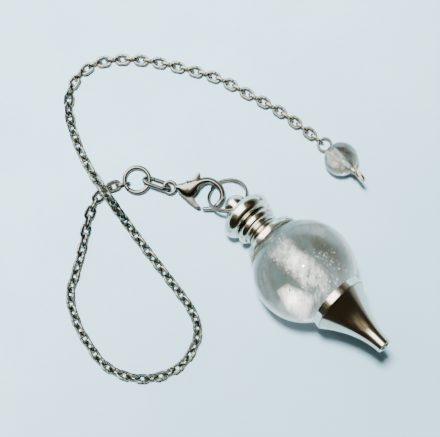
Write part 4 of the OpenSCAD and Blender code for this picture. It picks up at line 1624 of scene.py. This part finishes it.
@dataclass
class EndBead:
    """The small clear bead with its wire: loop, wraps and free end loop."""

    middle: Triple = (22.4021, 11.3613, 3.25)
    heading: float = -45.0
    tilt: float = 37.0
    loop_heading: float = -37.5
    loop_tilt: float = 3.0
    end_loop_roll: float = 16.0
    bead_r: float = 3.25
    inner_limit: float = 3.0
    hole_r: float = 0.4
    wire: float = 0.5
    loop_r: float = 1.25
    neck: float = 3.55
    wraps: int = 3
    wrap_pitch: float = 0.85
    loop_gap: float = 0.05
    # Each loop's start and how far round it goes, in degrees
    chain_loop: Pair = (3.0, 345.0)
    end_loop: Pair = (180.0, 350.0)
    bead_rows: int = 90
    bead_sides: int = 120
    loop_steps: int = 72
    wire_sides: int = 14
    veil_steps: int = 32
    # The brown inclusion's middle from the bead's, and its half-lengths as rows
    brown_at: Triple = (0.2, 1.2, 0.9)
    brown_reach: tuple[Triple, ...] = ((0.45, -0.4, 0.0), (0.25, 0.25, 0.0), (0.0, 0.0, 0.3))
    white_veils: tuple[VeilRow, ...] = (
        VeilRow((-0.2, -1.1, 0.4), 1.6, 0.9, 20.0, 10.0, 0.15, 51),
        VeilRow((-0.9, -0.6, -0.4), 1.3, 0.8, -10.0, -12.0, 0.15, 52),
    )
    dark_veils: tuple[VeilRow, ...] = (
        VeilRow((0.5, 1.2, 0.2), 1.7, 0.8, -6.0, 12.0, 0.15, 53),
        VeilRow((1.3, 0.2, -0.5), 0.9, 1.5, 4.0, -10.0, 0.15, 54),
    )

    def place(self) -> Place:
        """Returns the bead's frame: X along its hole, from the chain to the free end."""
        return Place(self.middle, turn("z", self.heading) @ turn("y", -self.tilt))

    def bead_form(self) -> Shape:
        """Gives the drilled bead, turned round its hole: a circle's arc and the hole's wall.

        Returns:
            The surface in the bead's frame.
        """
        edge = math.acos(self.hole_r / self.bead_r)
        arc = self.bead_r * circle(np.linspace(-edge, edge, self.bead_rows))
        end_r, end = arc[-1]
        lip = rounded([
            (end_r + 0.12, end - 0.02, 0), (self.hole_r, end - 0.05, 0.1), (self.hole_r, 0, 0),
            (self.hole_r, 0.05 - end, 0.1), (end_r + 0.12, 0.02 - end, 0),
        ], 5, False)
        profile = np.concatenate([arc[np.abs(arc[:, 1]) < end - 0.03], lip])
        return turned(profile, self.bead_sides, True).at(Place(np.zeros(3), turn("y", 90)))

    def tube(self, path: Array, side: Array, up: Array) -> Shape:
        """Returns a length of the wire along a path."""
        return wire(path, side, up, oval(self.wire, self.wire, self.wire_sides))

    def loop(self, centre: Array, span: Pair, axes: Array) -> Shape:
        """Gives an open loop of wire: centre + R (cos a, sin a) in the plane of two axes.

        Args:
            centre: its middle.
            span: the angle that it starts at, and how far round it goes.
            axes: its plane's two axes and its normal, as columns.

        Returns:
            The surface.
        """
        a = np.radians(span[0] + span[1] * np.linspace(0, 1, self.loop_steps))[:, None]
        out = np.cos(a) * axes[:, 0] + np.sin(a) * axes[:, 1]
        return self.tube(centre + self.loop_r * out, out, axes[:, 2])

    def wire_forms(self) -> tuple[Shape, Shape]:
        """Gives the eye pin: chain loop, shank through the bead, wrapped coil and end loop.

        The coil is a helix round the shank, wrap radius (cos a, sin a) with an even pitch.

        Returns:
            The shank with the chain loop, and the coil with the end loop, in the bead's frame.
        """
        x, y, z = np.eye(3)
        wrap_at = self.bead_r + 2 * self.loop_gap + self.wire / 2
        step = self.wire * self.wrap_pitch
        end_loop_at = wrap_at + (self.wraps - 1) * step + self.wire * 0.4 + self.loop_r
        shank_x = np.linspace(-self.neck, end_loop_at - self.loop_r, 12)[:, None]
        shank = self.tube(shank_x * x, y, z)
        a = np.linspace(-0.5, self.wraps - 0.5, 30 * self.wraps)[:, None] * FULL_TURN
        radial = np.cos(a) * y + np.sin(a) * z
        coil_x = wrap_at + np.clip(a / FULL_TURN, 0, self.wraps - 1) * step
        coil = self.tube(coil_x * x + step * radial, radial, x)
        plane = self.place().axes.T @ (turn("z", self.loop_heading) @ turn("y", -self.loop_tilt))
        chain_loop = self.loop(-self.neck * x - plane[:, 0] * self.loop_r, self.chain_loop, plane)
        end_loop = self.loop(end_loop_at * x, self.end_loop, turn("x", 90 - self.end_loop_roll))
        return joined([shank, chain_loop]), joined([coil, end_loop])

    def build(self, finishes: Finishes) -> None:
        """Builds and dresses the bead, its veils and inclusion, and its wire.

        Args:
            finishes: the finishes.
        """
        place = self.place()
        finishes.add("bead_skin", self.bead_form().at(place), BEAD_DEG, Look.BEAD, "end_bead")
        for name, rows, look in (
            ("bead_veils_painted_glow", self.white_veils, Look.BEAD_VEIL),
            ("bead_dark_veils", self.dark_veils, Look.BEAD_HAZE),
        ):
            stone = (self.middle, self.heading, self.inner_limit, self.veil_steps)
            finishes.add(name, joined([row.sheet(*stone) for row in rows]), SMOOTH_DEG, look)
        spot = np.array(self.middle) + self.brown_at
        flecks = fleck_cloud(
            spot, np.array(self.brown_reach), 22, (0.1, 0.28), 61, self.middle, self.inner_limit
        )
        finishes.add("bead_brown_inclusion", flecks, FACET_DEG, Look.BROWN_FLECK)
        straight, wrapped = self.wire_forms()
        finishes.add("eye_pin_wire", straight.at(place), WIRE_DEG, Look.FINDING, "eye_pin")
        finishes.add("eye_pin_coil", wrapped.at(place), WIRE_DEG, Look.COIL)


@dataclass
class Studio:
    """The pale floor, the key light, the room that metal mirrors, and the camera."""

    photo_width_px: int = 440
    mm_per_px: float = 0.1925
    distance: float = 350.0
    middle: Pair = (-0.6879, -0.0177)
    sensor: float = 36.0
    floor_half: float = 1500.0
    key_way: Triple = (-0.08, 0.22, 0.966)
    key_far: float = 700.0
    key_size: Pair = (0.10, 0.07)
    key_power: float = 35.0
    window_heading: float = 136.5
    window_glow: float = 9.0
    spill: float = 0.12
    near_clip: float = 0.01
    paper_tones: tuple[Colour, Colour] = ((0.235, 0.378, 0.45, 1), (0.262, 0.412, 0.482, 1))
    falloff_shade_tone: Colour = (0.12, 0.205, 0.245, 1)
    falloff_shade_depth: float = 0.62
    paper_roughness: float = 0.85
    low_tones: tuple[Colour, Colour] = ((0.05, 0.045, 0.035, 1), (0.5, 0.51, 0.48, 1))
    overhead_tone: Colour = (0.035, 0.026, 0.016, 1)
    glow_tone: Colour = (1.0, 0.84, 0.5, 1)
    window_tone: Triple = (1.0, 1.0, 0.97)

    def camera(self) -> None:
        """Sets the camera straight above the photo's middle, with the photo's frame."""
        data = bpy.data.cameras.new("camera")
        data.sensor_width = self.sensor
        data.lens = self.sensor * self.distance / (self.photo_width_px * self.mm_per_px)
        data.clip_start = self.near_clip
        made = bpy.data.objects.new("camera", data)
        made.location = (self.middle[0] * MM, self.middle[1] * MM, self.distance * MM)
        bpy.context.scene.collection.objects.link(made)
        bpy.context.scene.camera = made

    def floor(self) -> None:
        """Builds the pale floor, with the faint mottling of coarse paper and painted shade towards its
        lower-right corner.
        """
        line = np.array([-self.floor_half, self.floor_half])
        x, y = np.meshgrid(line, line, indexing="ij")
        floor = make_piece("floor", grid(np.stack([x, y, 0 * x], axis=-1), False, False))
        floor.data.flip_normals()
        made = bpy.data.materials.new("pale_paper")
        made.use_nodes = True
        sheet = NodeSheet(made.node_tree)
        broad = sheet.spread(sheet.noise(sheet.at(), 60.0, 3.0), 0.3, 0.7)
        grain = sheet.spread(sheet.noise(sheet.at(), 900.0, 2.0), 0.3, 0.7)
        tone = sheet.plus(sheet.times(broad, 0.7), sheet.times(grain, 0.3))
        colour = sheet.blend(tone, *self.paper_tones)
        side = sheet.add("ShaderNodeSeparateXYZ", {"Vector": sheet.at()}).outputs
        # painted shade: the floor darkens towards the lower right, where the light falls off
        corner = sheet.math("SUBTRACT", side["X"], side["Y"])
        shade = sheet.spread(corner, -0.05, 0.08, 0.0, self.falloff_shade_depth)
        colour = sheet.blend(shade, colour, self.falloff_shade_tone)
        shader = made.node_tree.nodes["Principled BSDF"]
        sheet.feed(shader, {"Base Color": colour, "Roughness": self.paper_roughness})
        floor.data.materials.append(made)

    def key_light(self) -> None:
        """Adds the oblong key light, in line with the window. Metal doesn't mirror it."""
        data = bpy.data.lights.new("key_light", "AREA")
        data.shape = "RECTANGLE"
        data.size, data.size_y = self.key_size
        data.energy = self.key_power
        made = bpy.data.objects.new("key_light", data)
        back = unit(np.array(self.key_way))
        made.location = back * self.key_far * MM
        run = turn("z", self.window_heading)[:, 0]
        along = unit(run - back * (run @ back))
        axes = np.stack([along, np.cross(back, along), back], axis=-1)
        made.rotation_euler = Matrix(axes.tolist()).to_euler()
        made.visible_glossy = False
        bpy.context.scene.collection.objects.link(made)

    def world(self) -> None:
        """Sets the room that metal mirrors.

        A bright window runs overhead from low on one side, with a warm broken glow beside it.
        The rest is dark and brown overhead, and lighter near the floor on one side. The room
        lights the floor by only a small share of what metal and stone show of it.
        """
        world = bpy.data.worlds.new("room")
        world.use_nodes = True
        bpy.context.scene.world = world
        sheet = NodeSheet(world.node_tree)
        way = sheet.add("ShaderNodeTexCoord").outputs["Generated"]
        axes = turn("z", self.window_heading)
        along, across = (
            sheet.add("ShaderNodeVectorMath", {0: way, 1: tuple(v)}, operation="DOT_PRODUCT").outputs["Value"]
            for v in (axes[:, 0], -axes[:, 1])
        )
        high = sheet.add("ShaderNodeSeparateXYZ", {"Vector": way}).outputs["Z"]
        off = sheet.math("ABSOLUTE", across)
        window = sheet.times(sheet.spread(off, 0.24, 0.44, 1.0, 0.0), sheet.spread(along, -0.08, 0.16))
        glow = sheet.times(sheet.spread(off, 0.25, 0.8, 1.0, 0.0), sheet.spread(along, -0.5, 0.0))
        glow = sheet.times(glow, sheet.spread(sheet.noise(way, 9.0, 4.0), 0.4, 0.6))
        low = sheet.blend(sheet.spread(across, -0.35, 0.4), *self.low_tones)
        colour = sheet.blend(sheet.spread(high, 0.02, 0.45), low, self.overhead_tone)
        colour = sheet.blend(glow, colour, self.glow_tone)
        bright = (*(self.window_glow * tone for tone in self.window_tone), 1)
        depth = sheet.add("ShaderNodeLightPath").outputs["Diffuse Depth"]
        strength = sheet.spread(depth, 0.0, 1.0, 1.0, self.spill)
        back = world.node_tree.nodes["Background"]
        sheet.feed(back, {"Color": sheet.blend(window, colour, bright), "Strength": strength})

    def build(self) -> None:
        """Builds the whole studio."""
        for step in (self.camera, self.floor, self.key_light, self.world):
            step()


def main() -> None:
    """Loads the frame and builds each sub-assembly in order."""
    logging.basicConfig(level=logging.INFO, format="%(name)s: %(message)s")
    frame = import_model()
    Studio().build()
    finishes = Finishes()
    ball = QuartzBall()
    for part in (ball, BobMetal(ball), SplitRing(), LobsterClasp(), JUMP_RING, OVAL_LINK):
        part.build(finishes)
    CableChain().build(finishes, frame["nodes"]["chain"])
    EndBead().build(finishes)


if __name__ == "__main__":
    main()
